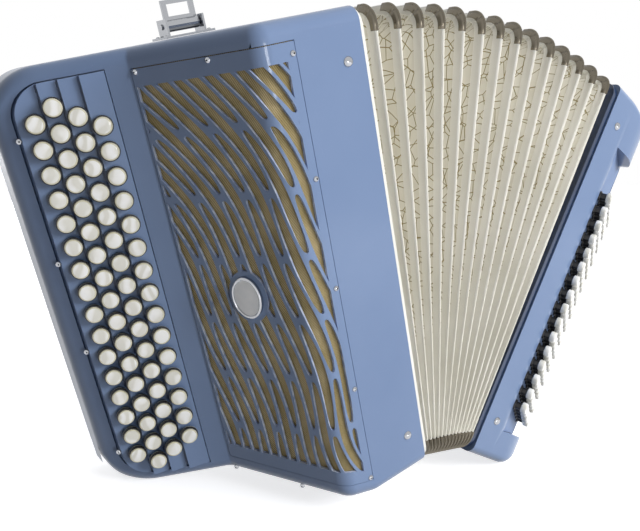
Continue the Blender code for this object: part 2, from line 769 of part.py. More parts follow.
def fold_loop(shape, share, inset, nudge):
    """One ring of points on the fan's plane at a share of the way from treble to bass."""
    angle = -TREBLE_LEAN + OPEN_ANGLE * share
    foot = FAN_START.lerp(FAN_STOP, share) + lean((nudge, 0, 0), angle)
    corners = ring_outline(inset, FOLD_CORNER)
    outline = []
    for index, (y, z) in enumerate(corners):
        next_y, next_z = corners[(index + 1) % len(corners)]
        steps = FOLD_STEPS if next_y == y else 1
        for step in range(steps):
            outline.append((y, z + (next_z - z) * step / steps))
    points = [foot + lean((0, y, z), angle) for y, z in outline]
    return [shape.verts.new(point) for point in points]


for fold in range(FOLDS):
    shape = bmesh.new()
    first, peak, last = fold / FOLDS, (fold + 0.5) / FOLDS, (fold + 1) / FOLDS
    valley = BELLOWS_INSET + FOLD_DEPTH
    sections = [
        fold_loop(shape, first, valley, FOLD_GAP / 2),
        fold_loop(shape, peak, BELLOWS_INSET, 0),
        fold_loop(shape, last, valley, -FOLD_GAP / 2),
        fold_loop(shape, last, valley + FOLD_WALL, -FOLD_GAP / 2),
        fold_loop(shape, peak, BELLOWS_INSET + FOLD_WALL, 0),
        fold_loop(shape, first, valley + FOLD_WALL, FOLD_GAP / 2),
    ]
    for side, near in enumerate(sections):
        far = sections[(side + 1) % len(sections)]
        inner = side in (3, 4)
        for index in range(len(near)):
            after = (index + 1) % len(near)
            if inner:
                shape.faces.new((near[index], near[after], far[index]))
                shape.faces.new((near[after], far[after], far[index]))
            else:
                shape.faces.new((near[index], near[after], far[after]))
                shape.faces.new((near[index], far[after], far[index]))
    bmesh.ops.recalc_face_normals(shape, faces=shape.faces)
    mesh = bpy.data.meshes.new("fold")
    shape.to_mesh(mesh)
    shape.free()
    add(f"bellows_fold_{fold + 1:02d}", mesh, BELLOWS_HINGE, IVORY)

# Bass casing
def board_plan(near, far, shallow, deep):
    """A four-sided plan along the slant of the button board, between two depths below its face."""
    corners = []
    for along, depth in ((near, shallow), (far, shallow), (far, deep), (near, deep)):
        corners.append(BOARD_START + BOARD_WAY * along - BOARD_OUT * depth)
    return corners


def recess_front():
    """The recess seen from the front: it widens round the ears towards the outer face."""
    outer = BASS_WIDTH + CLEARANCE
    beyond = BASS_WIDTH + BASS_FRONT_CORNER
    low = BOARD_FOOT - EAR_ROUND - WALL
    high = BOARD_TOP + EAR_ROUND + WALL
    return rounded(
        [
            (-WALL, BOARD_FOOT, 0),
            (outer, BOARD_FOOT, EAR_ROUND),
            (outer, low, 0),
            (beyond, low, 0),
            (beyond, high, 0),
            (outer, high, 0),
            (outer, BOARD_TOP, EAR_ROUND),
            (-WALL, BOARD_TOP, 0),
        ]
    )


bass_casing, bass_hollow = casing_shell("bass_casing", BASS, BLUE, bass_plan, bass_front)
boolean(bass_casing, opened(bass_hollow, -1))
EAR_WALL = WALL + 0.4 * EAR_ROUND
for end, low in (("foot", BOARD_FOOT - EAR_WALL), ("top", BOARD_TOP)):
    high = low + EAR_WALL
    ear_wall = add(f"ear_wall_{end}", prism_mesh([bass_plan(WALL / 2)], low, high), BASS)
    inside = prism_mesh([bass_front(WALL / 2)], -0.01, DEPTH + 0.01, "y")
    boolean(ear_wall, add(f"ear_inside_{end}", inside, BASS), "INTERSECT")
    beyond = prism_mesh([board_plan(-0.05, 0.14, -0.06, WALL)], low - 0.01, high + 0.01)
    boolean(ear_wall, add(f"ear_beyond_{end}", beyond, BASS), "INTERSECT")
    baked(ear_wall)
    boolean(bass_casing, ear_wall, "UNION")
recess_low = BOARD_FOOT - EAR_ROUND - 2 * WALL
recess_high = BOARD_TOP + EAR_ROUND + 2 * WALL
recess = add("board_recess", prism_mesh([board_plan(-0.05, 0.14, -0.06, 0)], recess_low, recess_high), BASS)
recess_ends = prism_mesh([recess_front()], -DEPTH, DEPTH, "y")
boolean(recess, add("recess_ends", recess_ends, BASS), "INTERSECT")
baked(recess)
boolean(bass_casing, recess)

# Bass button board: a slanting plate that closes the recess, with a slot under each row
board_face = board_plan(BOARD_EDGE, BOARD_LENGTH, CLEARANCE, CLEARANCE + BOARD_THICKNESS)
board = prism_mesh([board_face], BOARD_FOOT + CLEARANCE, BOARD_TOP - CLEARANCE)
bass_button_board = add("bass_button_board", board, BASS, BLUE)
seat_deep = 2 * CLEARANCE + BOARD_THICKNESS
seat_plan = board_plan(BOARD_EDGE - CLEARANCE, BOARD_LENGTH + CLEARANCE, -0.0001, seat_deep)
boolean(bass_casing, add("board_seat", prism_mesh([seat_plan], BOARD_FOOT, BOARD_TOP), BASS))


def bass_column(row, column):
    """How high a bass button stands; each column slants a little."""
    return BASS_LOWEST_BUTTON + column * BASS_PITCH - row * BASS_COLUMN_SLANT


for row in range(BASS_ROWS):
    middle = BASS_FIRST_ROW + row * BASS_ROW_SPACING
    low = bass_column(row, 0) - BASS_BUTTON_RADIUS
    high = bass_column(row, BASS_COLUMNS - 1) + BASS_BUTTON_RADIUS
    half = BASS_BLADE / 2
    board_deep = CLEARANCE + BOARD_THICKNESS + BASS_BLADE_DEPTH
    blade = prism_mesh([board_plan(middle - half, middle + half, -0.006, board_deep)], low, high)
    name = f"bass_button_row_{row + 1}"
    buttons = add(name, blade, BASS, PEARL)
    rods = []
    caps = []
    for column in range(BASS_COLUMNS):
        z = bass_column(row, column)
        foot = BOARD_START + BOARD_WAY * middle + BOARD_OUT * (BASS_TRAVEL + 2 * CLEARANCE)
        neck = BOARD_START + BOARD_WAY * middle + BOARD_OUT * (BASS_STAND - BASS_CAP)
        top = BOARD_START + BOARD_WAY * middle + BOARD_OUT * BASS_STAND
        caps.append(((*neck, z), (*top, z), BASS_BUTTON_RADIUS))
        rods.append(((*foot, z), (*(neck + BOARD_OUT * BASS_CAP / 2), z), BASS_BUTTON_RADIUS * 0.5))
    boolean(buttons, add(name + "_stems", rods_mesh(rods, 4), BASS), "UNION")
    boolean(buttons, add(name + "_caps", rods_mesh(caps, 7), BASS), "UNION")
    gap = BASS_SLOT_CLEARANCE
    slot_plan = board_plan(middle - half - gap, middle + half + gap, -0.02, 0.05)
    slot = add(name + "_slot", prism_mesh([slot_plan], low - gap, high + gap), BASS)
    boolean(bass_button_board, slot)
    boolean(bass_casing, slot)

# Hand strap: a leather band arched over the outer face, on two anchor plates
STRAP_Y = DEPTH - STRAP_FROM_BACK
STRAP_ENDS = (STRAP_FOOT, HEIGHT - STRAP_TOP_MARGIN)
OUTER = BASS_WIDTH


def strap_arc(lift):
    """The band's curve seen from the front, as (x, z), offset from its inner side."""
    arc = []
    for step in range(13):
        share = step / 12
        z = STRAP_ENDS[0] + (STRAP_ENDS[1] - STRAP_ENDS[0]) * share
        rise = STRAP_RISE * math.sin(math.pi * share) ** 0.7
        arc.append((OUTER + STRAP_ANCHOR[2] + 2 * CLEARANCE + rise + lift, z))
    return arc


band = strap_arc(0) + strap_arc(STRAP_THICKNESS)[::-1]
strap_mesh = prism_mesh([band], STRAP_Y - STRAP_WIDTH / 2, STRAP_Y + STRAP_WIDTH / 2, "y")
add("hand_strap", strap_mesh, BASS, LEATHER)
for name, z in (("strap_anchor_foot", STRAP_ENDS[0]), ("strap_anchor_top", STRAP_ENDS[1])):
    low = (OUTER + CLEARANCE, STRAP_Y - STRAP_ANCHOR[1] / 2, z - STRAP_ANCHOR[0] / 2)
    high = (OUTER + CLEARANCE + STRAP_ANCHOR[2], STRAP_Y + STRAP_ANCHOR[1] / 2, z + STRAP_ANCHOR[0] / 2)
    add(name, box_mesh(low, high), BASS, CHROME)

# Thumb wheel that draws the strap tight, let into a slot at the back of the casing's shoulder
wheel_middle = Vector((OUTER * 0.45, DEPTH - 0.036, HEIGHT))
wheel_low = wheel_middle - Vector((0, WHEEL_THICKNESS / 2, 0))
wheel_high = wheel_middle + Vector((0, WHEEL_THICKNESS / 2, 0))
wheel = add(
    "strap_thumb_wheel",
    rods_mesh([(wheel_low - wheel_middle, wheel_high - wheel_middle, WHEEL_RADIUS)], 20),
    BASS,
    CHROME,
)
wheel.location = wheel_middle
slot_low = wheel_middle - Vector((WHEEL_RADIUS + 0.001, WHEEL_THICKNESS / 2 + 0.0006, WHEEL_RADIUS + 0.004))
slot_high = wheel_middle + Vector((WHEEL_RADIUS + 0.001, WHEEL_THICKNESS / 2 + 0.0006, 0.02))
boolean(bass_casing, add("wheel_slot", box_mesh(slot_low, slot_high), BASS))

# Air button, on the front shoulder above the bass buttons
air_y = STRAP_Y - STRAP_ANCHOR[1] / 2 - AIR_BUTTON_FROM_STRAP
air_z = HEIGHT - AIR_BUTTON_TOP_MARGIN
air_hole = ((OUTER - 0.02, air_y, air_z), (OUTER + 0.02, air_y, air_z), AIR_BUTTON_RADIUS + 2 * CLEARANCE)
boolean(bass_casing, add("air_hole", rods_mesh([air_hole], 16), BASS))
air_rod = ((OUTER - 2 * WALL, air_y, air_z), (OUTER + AIR_BUTTON_STAND, air_y, air_z), AIR_BUTTON_RADIUS)
add("air_button", rods_mesh([air_rod], 16), BASS, PEARL)

# Shoulder strap bracket on top of the treble casing: plate with two ears, pin and swinging loop
bracket_x, bracket_y = BRACKET_PLACE
plate_half = Vector((BRACKET_PLATE[0] / 2, BRACKET_PLATE[1] / 2, 0))
plate_middle = Vector((bracket_x, bracket_y, HEIGHT + CLEARANCE))
plate_high = plate_middle + plate_half + Vector((0, 0, BRACKET_PLATE[2]))
bracket = add("strap_bracket", box_mesh(plate_middle - plate_half, plate_high), TREBLE, CHROME)
ear_reach = LOOP_WIDTH / 2 + 0.001
pin_z = HEIGHT + CLEARANCE + BRACKET_PIN_HEIGHT
for side in (-1, 1):
    inner = bracket_x + side * ear_reach
    outer = inner + side * BRACKET_EAR[0]
    ear_low = (min(inner, outer), bracket_y - BRACKET_EAR[1] / 2, HEIGHT + CLEARANCE + BRACKET_PLATE[2] / 2)
    ear_high = (max(inner, outer), bracket_y + BRACKET_EAR[1] / 2, HEIGHT + CLEARANCE + BRACKET_EAR[2])
    boolean(bracket, add(f"bracket_ear_{side}", box_mesh(ear_low, ear_high), TREBLE), "UNION")
pin_reach = Vector((ear_reach + BRACKET_EAR[0] + 0.001, 0, 0))
pin_middle = Vector((bracket_x, bracket_y, pin_z))
pin_hole = (pin_middle - pin_reach * 2, pin_middle + pin_reach * 2, BRACKET_PIN_RADIUS + CLEARANCE)
boolean(bracket, add("bracket_pin_hole", rods_mesh([pin_hole], 16), TREBLE))
pin = rods_mesh([(pin_middle - pin_reach, pin_middle + pin_reach, BRACKET_PIN_RADIUS)], 12)
add("strap_bracket_pin", pin, TREBLE, CHROME)

# The loop's origin is on its pin
loop_half = LOOP_WIDTH / 2
barrel_radius = BRACKET_PIN_RADIUS + CLEARANCE + LOOP_THICKNESS
barrel = [((-loop_half, 0, 0), (loop_half, 0, 0), barrel_radius)]
loop = add("strap_loop", rods_mesh(barrel, 16), TREBLE, CHROME)
loop.location = pin_middle
tongue = box_mesh((-loop_half, -LOOP_THICKNESS / 2, 0), (loop_half, LOOP_THICKNESS / 2, LOOP_LENGTH))
boolean(loop, add("loop_tongue", tongue, loop), "UNION")
slit = box_mesh((-loop_half + 0.004, -0.01, LOOP_SLIT[0]), (loop_half - 0.004, 0.01, LOOP_SLIT[1]))
boolean(loop, add("loop_slit", slit, loop))
bore = rods_mesh([((-0.03, 0, 0), (0.03, 0, 0), BRACKET_PIN_RADIUS + CLEARANCE)], 12)
boolean(loop, add("loop_bore", bore, loop))

# Inside: a sound board in each casing and reed blocks on its bellows side
def soundboard(name, parent, x, way, blocks):
    """A wooden partition with one long opening under each reed block, and the blocks themselves."""
    half = SOUNDBOARD_THICKNESS / 2
    rim = WALL + 3 * CLEARANCE
    low, high = (rim, rim), (DEPTH - rim, HEIGHT - rim)
    loops = [[low, (high[0], low[1]), high, (low[0], high[1])]]
    for block in range(blocks):
        y = DEPTH / 2 + (block - (blocks - 1) / 2) * BLOCK_PITCH
        middle = HEIGHT / 2
        loops.append(
            [
                (y - 0.004, middle - BLOCK_HEIGHT / 2 + 0.01),
                (y + 0.004, middle - BLOCK_HEIGHT / 2 + 0.01),
                (y + 0.004, middle + BLOCK_HEIGHT / 2 - 0.01),
                (y - 0.004, middle + BLOCK_HEIGHT / 2 - 0.01),
            ]
        )
        near = x + way * (half + CLEARANCE)
        far = -way * 0.004
        wide = BLOCK_THICKNESS / 2
        tip = wide * 0.6
        section = [(near, y - wide), (near, y + wide), (far, y + tip), (far, y - tip)]
        block_mesh = prism_mesh([section], middle - BLOCK_HEIGHT / 2, middle + BLOCK_HEIGHT / 2)
        add(f"{name}_reed_block_{block + 1}", block_mesh, parent, WOOD)
    add(f"{name}_soundboard", prism_mesh(loops, x - half, x + half, "x"), parent, WOOD)


soundboard("treble", TREBLE, TREBLE_SOUNDBOARD_X, 1, TREBLE_BLOCKS)
soundboard("bass", BASS, BASS_SOUNDBOARD_X, -1, BASS_BLOCKS)

# Bellows pins on the front of both casings
for side, parent, x in (("treble", TREBLE, -PIN_IN), ("bass", BASS, PIN_IN + 0.001)):
    for end, z in (("foot", PIN_END), ("top", HEIGHT - PIN_END)):
        head = [((x, -CLEARANCE, z), (x, -CLEARANCE - PIN_DOME, z), PIN_HEAD)]
        add(f"{side}_bellows_pin_{end}", rods_mesh(head, 12), parent, CHROME)

# Set the whole on the floor, in the middle of its own length and depth
bpy.context.view_layer.update()
graph = bpy.context.evaluated_depsgraph_get()
corners = []
for obj in PARTS.objects:
    if obj.type == "MESH":
        solid = obj.evaluated_get(graph)
        corners += [obj.matrix_world @ vertex.co for vertex in solid.data.vertices]
low = Vector([min(corner[axis] for corner in corners) for axis in range(3)])
high = Vector([max(corner[axis] for corner in corners) for axis in range(3)])
ACCORDION.location = (-(low.x + high.x) / 2, -(low.y + high.y) / 2, -low.z)
bpy.context.view_layer.update()
print("size", [round(value, 6) for value in high - low])
print("leans", round(math.degrees(TREBLE_LEAN), 5), round(math.degrees(BASS_LEAN), 5))
for name, frame in (("hinge", BELLOWS_HINGE), ("treble", TREBLE), ("bass", BASS)):
    print(name, [round(value, 6) for value in frame.matrix_world.translation])
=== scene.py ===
"""Button accordion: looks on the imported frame.

Units are metres. Pieces are drawn upright in the frame of their casing (x from the bellows edge, y back
from the front face, z up) and then leaned into place with that casing's matrix.
"""

import math

import bmesh
import bpy
from mathutils import Matrix, Vector


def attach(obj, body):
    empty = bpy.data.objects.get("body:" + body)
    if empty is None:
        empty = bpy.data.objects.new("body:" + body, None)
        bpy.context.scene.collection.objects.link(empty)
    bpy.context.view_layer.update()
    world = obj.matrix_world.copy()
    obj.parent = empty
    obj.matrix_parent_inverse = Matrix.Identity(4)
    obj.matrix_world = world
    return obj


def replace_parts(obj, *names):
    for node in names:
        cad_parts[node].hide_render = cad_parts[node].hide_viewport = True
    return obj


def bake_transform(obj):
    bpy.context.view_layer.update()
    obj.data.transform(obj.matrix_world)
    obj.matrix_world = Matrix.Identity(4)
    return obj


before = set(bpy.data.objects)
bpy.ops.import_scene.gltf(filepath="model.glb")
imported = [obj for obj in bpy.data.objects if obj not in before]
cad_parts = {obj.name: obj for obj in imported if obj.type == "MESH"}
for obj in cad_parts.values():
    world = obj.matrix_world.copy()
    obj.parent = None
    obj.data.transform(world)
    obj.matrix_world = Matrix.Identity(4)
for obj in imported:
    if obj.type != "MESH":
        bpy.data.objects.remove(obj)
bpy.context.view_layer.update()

# Camera: a normal lens in front of the instrument and to its left, level with its upper part.
# Its place and turn are worked out from the treble buttons of the photograph.
camera = bpy.data.objects.new("camera", bpy.data.cameras.new("camera"))
bpy.context.scene.collection.objects.link(camera)
camera.location = (-0.4071, -0.50188, 0.30499)
camera.rotation_euler = [math.radians(turn) for turn in (79.6398, -3.1629, -35.1725)]
camera.data.lens = 40.01
camera.data.clip_start = 0.01
bpy.context.scene.camera = camera

# Studio: soft light that fades to the left, so that the slanted faces read darker, with a key lamp high on
# the right and a fill behind. A small window lamp makes a glint in the bend, and the sky is seen as white.


def node(owner, kind, settings=(), stops=(), **sockets):
    """Adds a node; a socket takes a value, or a link as (node, output name). Ramp stops are (place, hex)."""
    made = owner.node_tree.nodes.new("ShaderNode" + kind)
    for name, value in dict(settings).items():
        setattr(made, name, value)
    for name, value in sockets.items():
        socket = made.inputs[int(name[1:])] if name[1:].isdigit() else made.inputs[name.replace("_", " ")]
        if isinstance(value, tuple) and isinstance(value[0], bpy.types.Node):
            owner.node_tree.links.new(value[0].outputs[value[1]], socket)
        else:
            socket.default_value = value
    for index, (place, code) in enumerate(stops):
        elements = made.color_ramp.elements
        element = elements[index] if index < 2 else elements.new(place)
        element.position = place
        element.color = srgb(code)
    return made


def wire(owner, source, output, target, socket):
    """Links one node's output to another node's socket."""
    owner.node_tree.links.new(source.outputs[output], target.inputs[socket])


scene = bpy.context.scene
scene.view_settings.view_transform = "Standard"
world = bpy.data.worlds.new("studio")
world.use_nodes = True
heading = node(world, "TexCoord")
across = node(world, "SeparateXYZ", Vector=(heading, "Generated"))
side = node(world, "MapRange", Value=(across, "X"), From_Min=-0.25, From_Max=0.25, To_Min=0.01, To_Max=0.65)
eye = node(world, "LightPath")
shown = node(world, "Math", {"use_clamp": True}, _0=(eye, "Is Camera Ray"), _1=(eye, "Is Glossy Ray"))
shown = node(world, "Math", {"use_clamp": True}, _0=(shown, "Value"), _1=(eye, "Is Transmission Ray"))
sky = node(world, "Math", {"operation": "MAXIMUM"}, _0=(side, "Result"), _1=(shown, "Value"))
wire(world, sky, "Value", world.node_tree.nodes["Background"], "Color")
scene.world = world
for name, place, aim, size, watts in (
    ("key", (0.88, -1.89, 1.17), (0.0, 0.0, 0.2), (1.2, 0.9), 46.0),
    ("window", (-0.23, -2.08, 0.20), (-0.15, -0.09, 0.34), (0.42, 0.30), 6.5),
    ("top", (0.1, 0.2, 1.7), (0.0, 0.0, 0.2), (1.4, 0.9), 3.0),
    ("back", (-0.3, 2.2, 0.5), (0.0, 0.0, 0.2), (1.2, 0.8), 26.0),
):
    lamp = bpy.data.objects.new(name, bpy.data.lights.new(name, "AREA"))
    lamp.data.shape = "RECTANGLE"
    lamp.data.size, lamp.data.size_y = size
    lamp.data.energy = watts
    lamp.visible_glossy = name == "window"
    lamp.location = place
    lamp.rotation_euler = (Vector(aim) - Vector(place)).to_track_quat("-Z", "Y").to_euler()
    scene.collection.objects.link(lamp)

# Floor: a plain pale sheet of paper under the instrument.
# It looks white to the camera, throws back little light and keeps the shadow.


def srgb(code):
    """A linear colour from an sRGB hex code."""
    parts = [int(code[i:i + 2], 16) / 255 for i in (1, 3, 5)]
    return (*[c / 12.92 if c <= 0.04045 else ((c + 0.055) / 1.055) ** 2.4 for c in parts], 1.0)


def paint(name):
    """A new node material and its Principled BSDF."""
    made = bpy.data.materials.new(name)
    made.use_nodes = True
    return made, made.node_tree.nodes["Principled BSDF"]


def tune(shader, **numbers):
    """Sets plain numbers and colours on a shader's own sockets."""
    for name, value in numbers.items():
        shader.inputs[name.replace("_", " ")].default_value = value


def piece(name, shape, *materials, angle=35):
    """Turns a bmesh into an object with smooth shading up to an angle."""
    mesh = bpy.data.meshes.new(name)
    bmesh.ops.recalc_face_normals(shape, faces=shape.faces)
    shape.to_mesh(mesh)
    shape.free()
    made = bpy.data.objects.new(name, mesh)
    bpy.context.scene.collection.objects.link(made)
    for material in materials:
        mesh.materials.append(material)
    mesh.shade_smooth()
    mesh.set_sharp_from_angle(angle=math.radians(angle))
    return made


floor_shape = bmesh.new()
bmesh.ops.create_grid(floor_shape, x_segments=1, y_segments=1, size=6.0)
floor_paint, floor_shader = paint("floor")
ray = node(floor_paint, "LightPath")
seen = node(floor_paint, "Math", {"use_clamp": True}, _0=(ray, "Is Camera Ray"), _1=(ray, "Is Glossy Ray"))
seen = node(floor_paint, "Math", {"use_clamp": True}, _0=(seen, "Value"), _1=(ray, "Is Transmission Ray"))
FLOOR_PALE, FLOOR_BOUNCE = srgb("#D8D8DA"), srgb("#6E6E70")
BLEND = {"data_type": "RGBA"}
paper_roll = node(floor_paint, "Mix", BLEND, Factor=(seen, "Value"), _6=FLOOR_BOUNCE, _7=FLOOR_PALE)
glow = node(floor_paint, "Math", {"operation": "MULTIPLY"}, _0=(seen, "Value"), _1=0.74)
wire(floor_paint, paper_roll, "Result", floor_shader, "Base Color")
wire(floor_paint, glow, "Value", floor_shader, "Emission Strength")
tune(floor_shader, Emission_Color=srgb("#FFFFFF"), Roughness=0.9)
floor = piece("floor", floor_shape, floor_paint)
floor.location.z = -0.0005

# Treble casing: the right hand's body, a hollow wooden box open to the bellows and lacquered blue. Its front
# has a flat strip, a bend, a slant down to a valley and a wing for the keyboard, with openings for the
# grille and the fingerboard.
# Blue lacquer, sprayed and polished: a blue with faint clouds, about 110 mm wide, under a clear coat.
# Its sparkle is drawn coarser than the real flecks, 1.4 mm apart, so that it shows
lacquer, shader = paint("blue_lacquer")
place = node(lacquer, "TexCoord")
cloud = node(lacquer, "TexNoise", Vector=(place, "Object"), Scale=9.0, Detail=3.0)
blue = node(lacquer, "ValToRGB", Fac=(cloud, "Fac"), stops=((0.3, "#7389AE"), (0.7, "#7C91B5")))
fleck = node(lacquer, "TexVoronoi", Vector=(place, "Object"), Scale=700.0, Randomness=1.0)
spark = node(lacquer, "ValToRGB", Fac=(fleck, "Distance"), stops=((0.0, "#FFFFFF"), (0.09, "#000000")))
glint = node(lacquer, "TexWhiteNoise", Vector=(fleck, "Position"))
rare = node(lacquer, "ValToRGB", Fac=(glint, "Value"), stops=((0.82, "#000000"), (0.9, "#FFFFFF")))
amount = node(lacquer, "Math", {"operation": "MULTIPLY"}, _0=(spark, "Color"), _1=(rare, "Color"))
mixed = node(lacquer, "Mix", BLEND, Factor=(amount, "Value"), _6=(blue, "Color"), _7=srgb("#D5DEF0"))
wire(lacquer, mixed, "Result", shader, "Base Color")
tune(shader, Specular_IOR_Level=0.15, Roughness=0.32, Coat_Weight=0.4, Coat_Roughness=0.1)

HEIGHT, DEPTH = 0.382, 0.190
TREBLE_LEAN = math.radians(16.24391)
TREBLE = Matrix.Translation((0.015369, -0.090134, 0.02956)) @ Matrix.Rotation(-TREBLE_LEAN, 4, "Y")
CASING_WALL, EDGE_STEPS = 0.006, 6


def rounded(*corners):
    """A closed outline through (u, v, radius) corners, with fine arcs at round corners."""
    outline = []
    for index, (u, v, radius) in enumerate(corners):
        here = Vector((u, v))
        before = (Vector(corners[index - 1][:2]) - here).normalized()
        after = (Vector(corners[(index + 1) % len(corners)][:2]) - here).normalized()
        opening = before.angle(after)
        if radius == 0:
            outline.append(here)
            continue
        middle = here + (before + after).normalized() * radius / math.sin(opening / 2)
        start = here + before * radius / math.tan(opening / 2) - middle
        sweep = start.angle_signed(here + after * radius / math.tan(opening / 2) - middle)
        steps = max(2, math.ceil(abs(sweep) / math.radians(5) - 0.01))
        for step in range(steps + 1):
            outline.append(middle + Matrix.Rotation(-sweep * step / steps, 2) @ start)
    return outline


def prism(outline, low, high, along="z"):
    """A closed outline extruded from low to high along an axis, as a loose object."""
    order = {"z": (0, 1, 2), "y": (0, 2, 1), "x": (2, 0, 1)}[along]
    shape = bmesh.new()
    rows = []
    for level in (low, high):
        row = []
        for u, v in outline:
            values = (u, v, level)
            row.append(shape.verts.new([values[order[axis]] for axis in range(3)]))
        rows.append(row)
        shape.faces.new(row)
    for index in range(len(outline)):
        after = (index + 1) % len(outline)
        shape.faces.new((rows[0][index], rows[0][after], rows[1][after], rows[1][index]))
    return piece("prism", shape)


def carve(target, other, operation="DIFFERENCE"):
    """Cuts, joins or intersects two loose objects and drops the second."""
    step = target.modifiers.new("carve", "BOOLEAN")
    step.operation, step.object, step.solver = operation, other, "EXACT"
    settle(target)
    bpy.data.objects.remove(other)
    return target


def settle(target):
    """Makes an object's modifiers into plain mesh."""
    graph = bpy.context.evaluated_depsgraph_get()
    mesh = bpy.data.meshes.new_from_object(target.evaluated_get(graph))
    target.modifiers.clear()
    target.data = mesh
    return target


def outline_level(outline, x, pick):
    """The highest or lowest place of a closed (x, z) outline at x."""
    x = min(max(x, min(point.x for point in outline)), max(point.x for point in outline))
    levels = []
    for near, far in zip(outline, outline[1:] + outline[:1]):
        if near.x != far.x and min(near.x, far.x) <= x <= max(near.x, far.x):
            levels.append(near.y + (far.y - near.y) * (x - near.x) / (far.x - near.x))
    return pick(levels)


def slice_at(shape, cuts):
    """Splits a form along planes at these places on x."""
    for cut in cuts:
        everything = shape.verts[:] + shape.edges[:] + shape.faces[:]
        bmesh.ops.bisect_plane(shape, geom=everything, plane_co=(cut, 0, 0), plane_no=(1, 0, 0), dist=1e-6)


def casing_form(plan, front, inset, edge_round):
    """A closed body on a plan, with rounded rims at its foot and top, which follow the front outline."""
    outline = front(inset)
    shape = bmesh.new()
    rows = []
    turns = [math.pi / 2 * step / EDGE_STEPS for step in range(EDGE_STEPS + 1)]
    rims = [(1 - math.sin(turn), 1 - math.cos(turn)) for turn in turns]
    for drawn_in, lift in rims + [(drawn_in, -lift) for drawn_in, lift in reversed(rims)]:
        level = lift * edge_round + (HEIGHT if len(rows) > EDGE_STEPS else 0)
        rows.append([shape.verts.new((*point, level)) for point in plan(inset + drawn_in * edge_round)])
    for near, far in zip(rows, rows[1:]):
        for index in range(len(near)):
            shape.faces.new((near[index - 1], near[index], far[index], far[index - 1]))
    shape.faces.new(rows[0])
    shape.faces.new(rows[-1])
    slice_at(shape, sorted({round(point.x, 5) for point in outline}))
    for vertex in shape.verts:
        above = vertex.co.z > HEIGHT / 2
        level = outline_level(outline, vertex.co.x, max if above else min)
        vertex.co.z += level - HEIGHT if above else level
    return piece("casing_form", shape)


def dress(solid, *materials):
    """Gives an object these materials and no others."""
    solid.data.materials.clear()
    for material in materials:
        solid.data.materials.append(material)


def shell(name, plan, front, width, edge_round, material):
    """A casing with rounded edges, hollow towards the bellows."""
    solid = casing_form(plan, front, 0, edge_round)
    solid.name = name
    hollow = casing_form(plan, front, CASING_WALL, 0.002)
    for vertex in hollow.data.vertices:
        if abs(vertex.co.x) < 1e-5:
            vertex.co.x -= math.copysign(0.02, width)
    carve(solid, hollow)
    dress(solid, material)
    return solid


def in_place(solid, matrix, angle=35):
    """Leans a finished loose object into the row frame, shaded so that flat faces stay flat."""
    shape = bmesh.new()
    shape.from_mesh(solid.data)
    bmesh.ops.remove_doubles(shape, verts=shape.verts, dist=2e-5)
    bmesh.ops.dissolve_degenerate(shape, edges=shape.edges, dist=2e-5)
    bmesh.ops.transform(shape, verts=shape.verts, matrix=matrix)
    shape.to_mesh(solid.data)
    shape.free()
    solid.data.shade_smooth()
    solid.data.set_sharp_from_angle(angle=math.radians(angle))
    weighted = solid.modifiers.new("flat faces", "WEIGHTED_NORMAL")
    weighted.keep_sharp = True
    return solid


SLANT, SLOPE = math.radians(60), math.radians(33)
SLANT_LENGTH, BEND_RADIUS, VALLEY_RADIUS = 0.108, 0.016, 0.005
FOOT_RISE, FOOT_FLAT, FOOT_ROUND, WING_ROUND, WING_EDGE, BACK_EDGE = 0.026, 0.055, 0.02, 0.036, 0.016, 0.014
BEND = Vector((-0.084, 0))
SLANT_WAY = Vector((-math.cos(SLANT), math.sin(SLANT)))
VALLEY = BEND + SLANT_WAY * SLANT_LENGTH
FINGER_WAY = Vector((-math.cos(SLOPE), math.sin(SLOPE)))
FINGER_IN = Vector((math.sin(SLOPE), math.cos(SLOPE)))
SIDE = -0.226


def treble_plan(inset):
    """The treble casing from above, drawn in by an inset."""
    slant_in = Vector((math.sin(SLANT), math.cos(SLANT))) * inset
    bend = Vector((BEND.x + inset * math.tan(SLANT / 2), inset))
    middle = (slant_in + FINGER_IN * inset).normalized()
    valley = VALLEY + middle * inset / math.cos(SLANT_WAY.angle(FINGER_WAY) / 2)
    edge = VALLEY + FINGER_IN * inset
    edge += FINGER_WAY * ((SIDE + inset - edge.x) / FINGER_WAY.x)
    return rounded(
        (0, inset, 0),
        (0, DEPTH - inset, 0),
        (SIDE + inset, DEPTH - inset, BACK_EDGE - inset),
        (*edge, WING_EDGE - inset),
        (*valley, VALLEY_RADIUS + inset),
        (*bend, BEND_RADIUS - inset),
    )


def treble_front(inset):
    """The treble casing from the front, with its foot rising towards the wing, drawn in by an inset."""
    slope = math.atan2(FOOT_RISE, -VALLEY.x - FOOT_FLAT)
    nudge = inset * math.tan(slope / 2)
    return rounded(
        (0, inset, 0),
        (0, HEIGHT - inset, 0),
        (SIDE + inset, HEIGHT - inset, WING_ROUND - inset),
        (SIDE + inset, FOOT_RISE + inset, WING_ROUND - inset),
        (VALLEY.x + nudge, FOOT_RISE + inset, FOOT_ROUND),
        (-FOOT_FLAT + nudge, inset, FOOT_ROUND),
    )


casing = shell("treble_body", treble_plan, treble_front, SIDE, 0.011, lacquer)

FROM_BELLOWS, GRILLE_MARGIN = 0.057, 0.0145
TANGENT = BEND_RADIUS * math.tan(SLANT / 2)
BEND_START = -BEND.x - TANGENT - FROM_BELLOWS
BEND_END = BEND_START + BEND_RADIUS * SLANT
GRILLE_LENGTH = BEND_END + (VALLEY - BEND).length - TANGENT - 0.0012
SLANT_OUT = Vector((-math.sin(SLANT), -math.cos(SLANT)))
FOOT_SLOPE = FOOT_RISE / (-VALLEY.x - FOOT_FLAT)


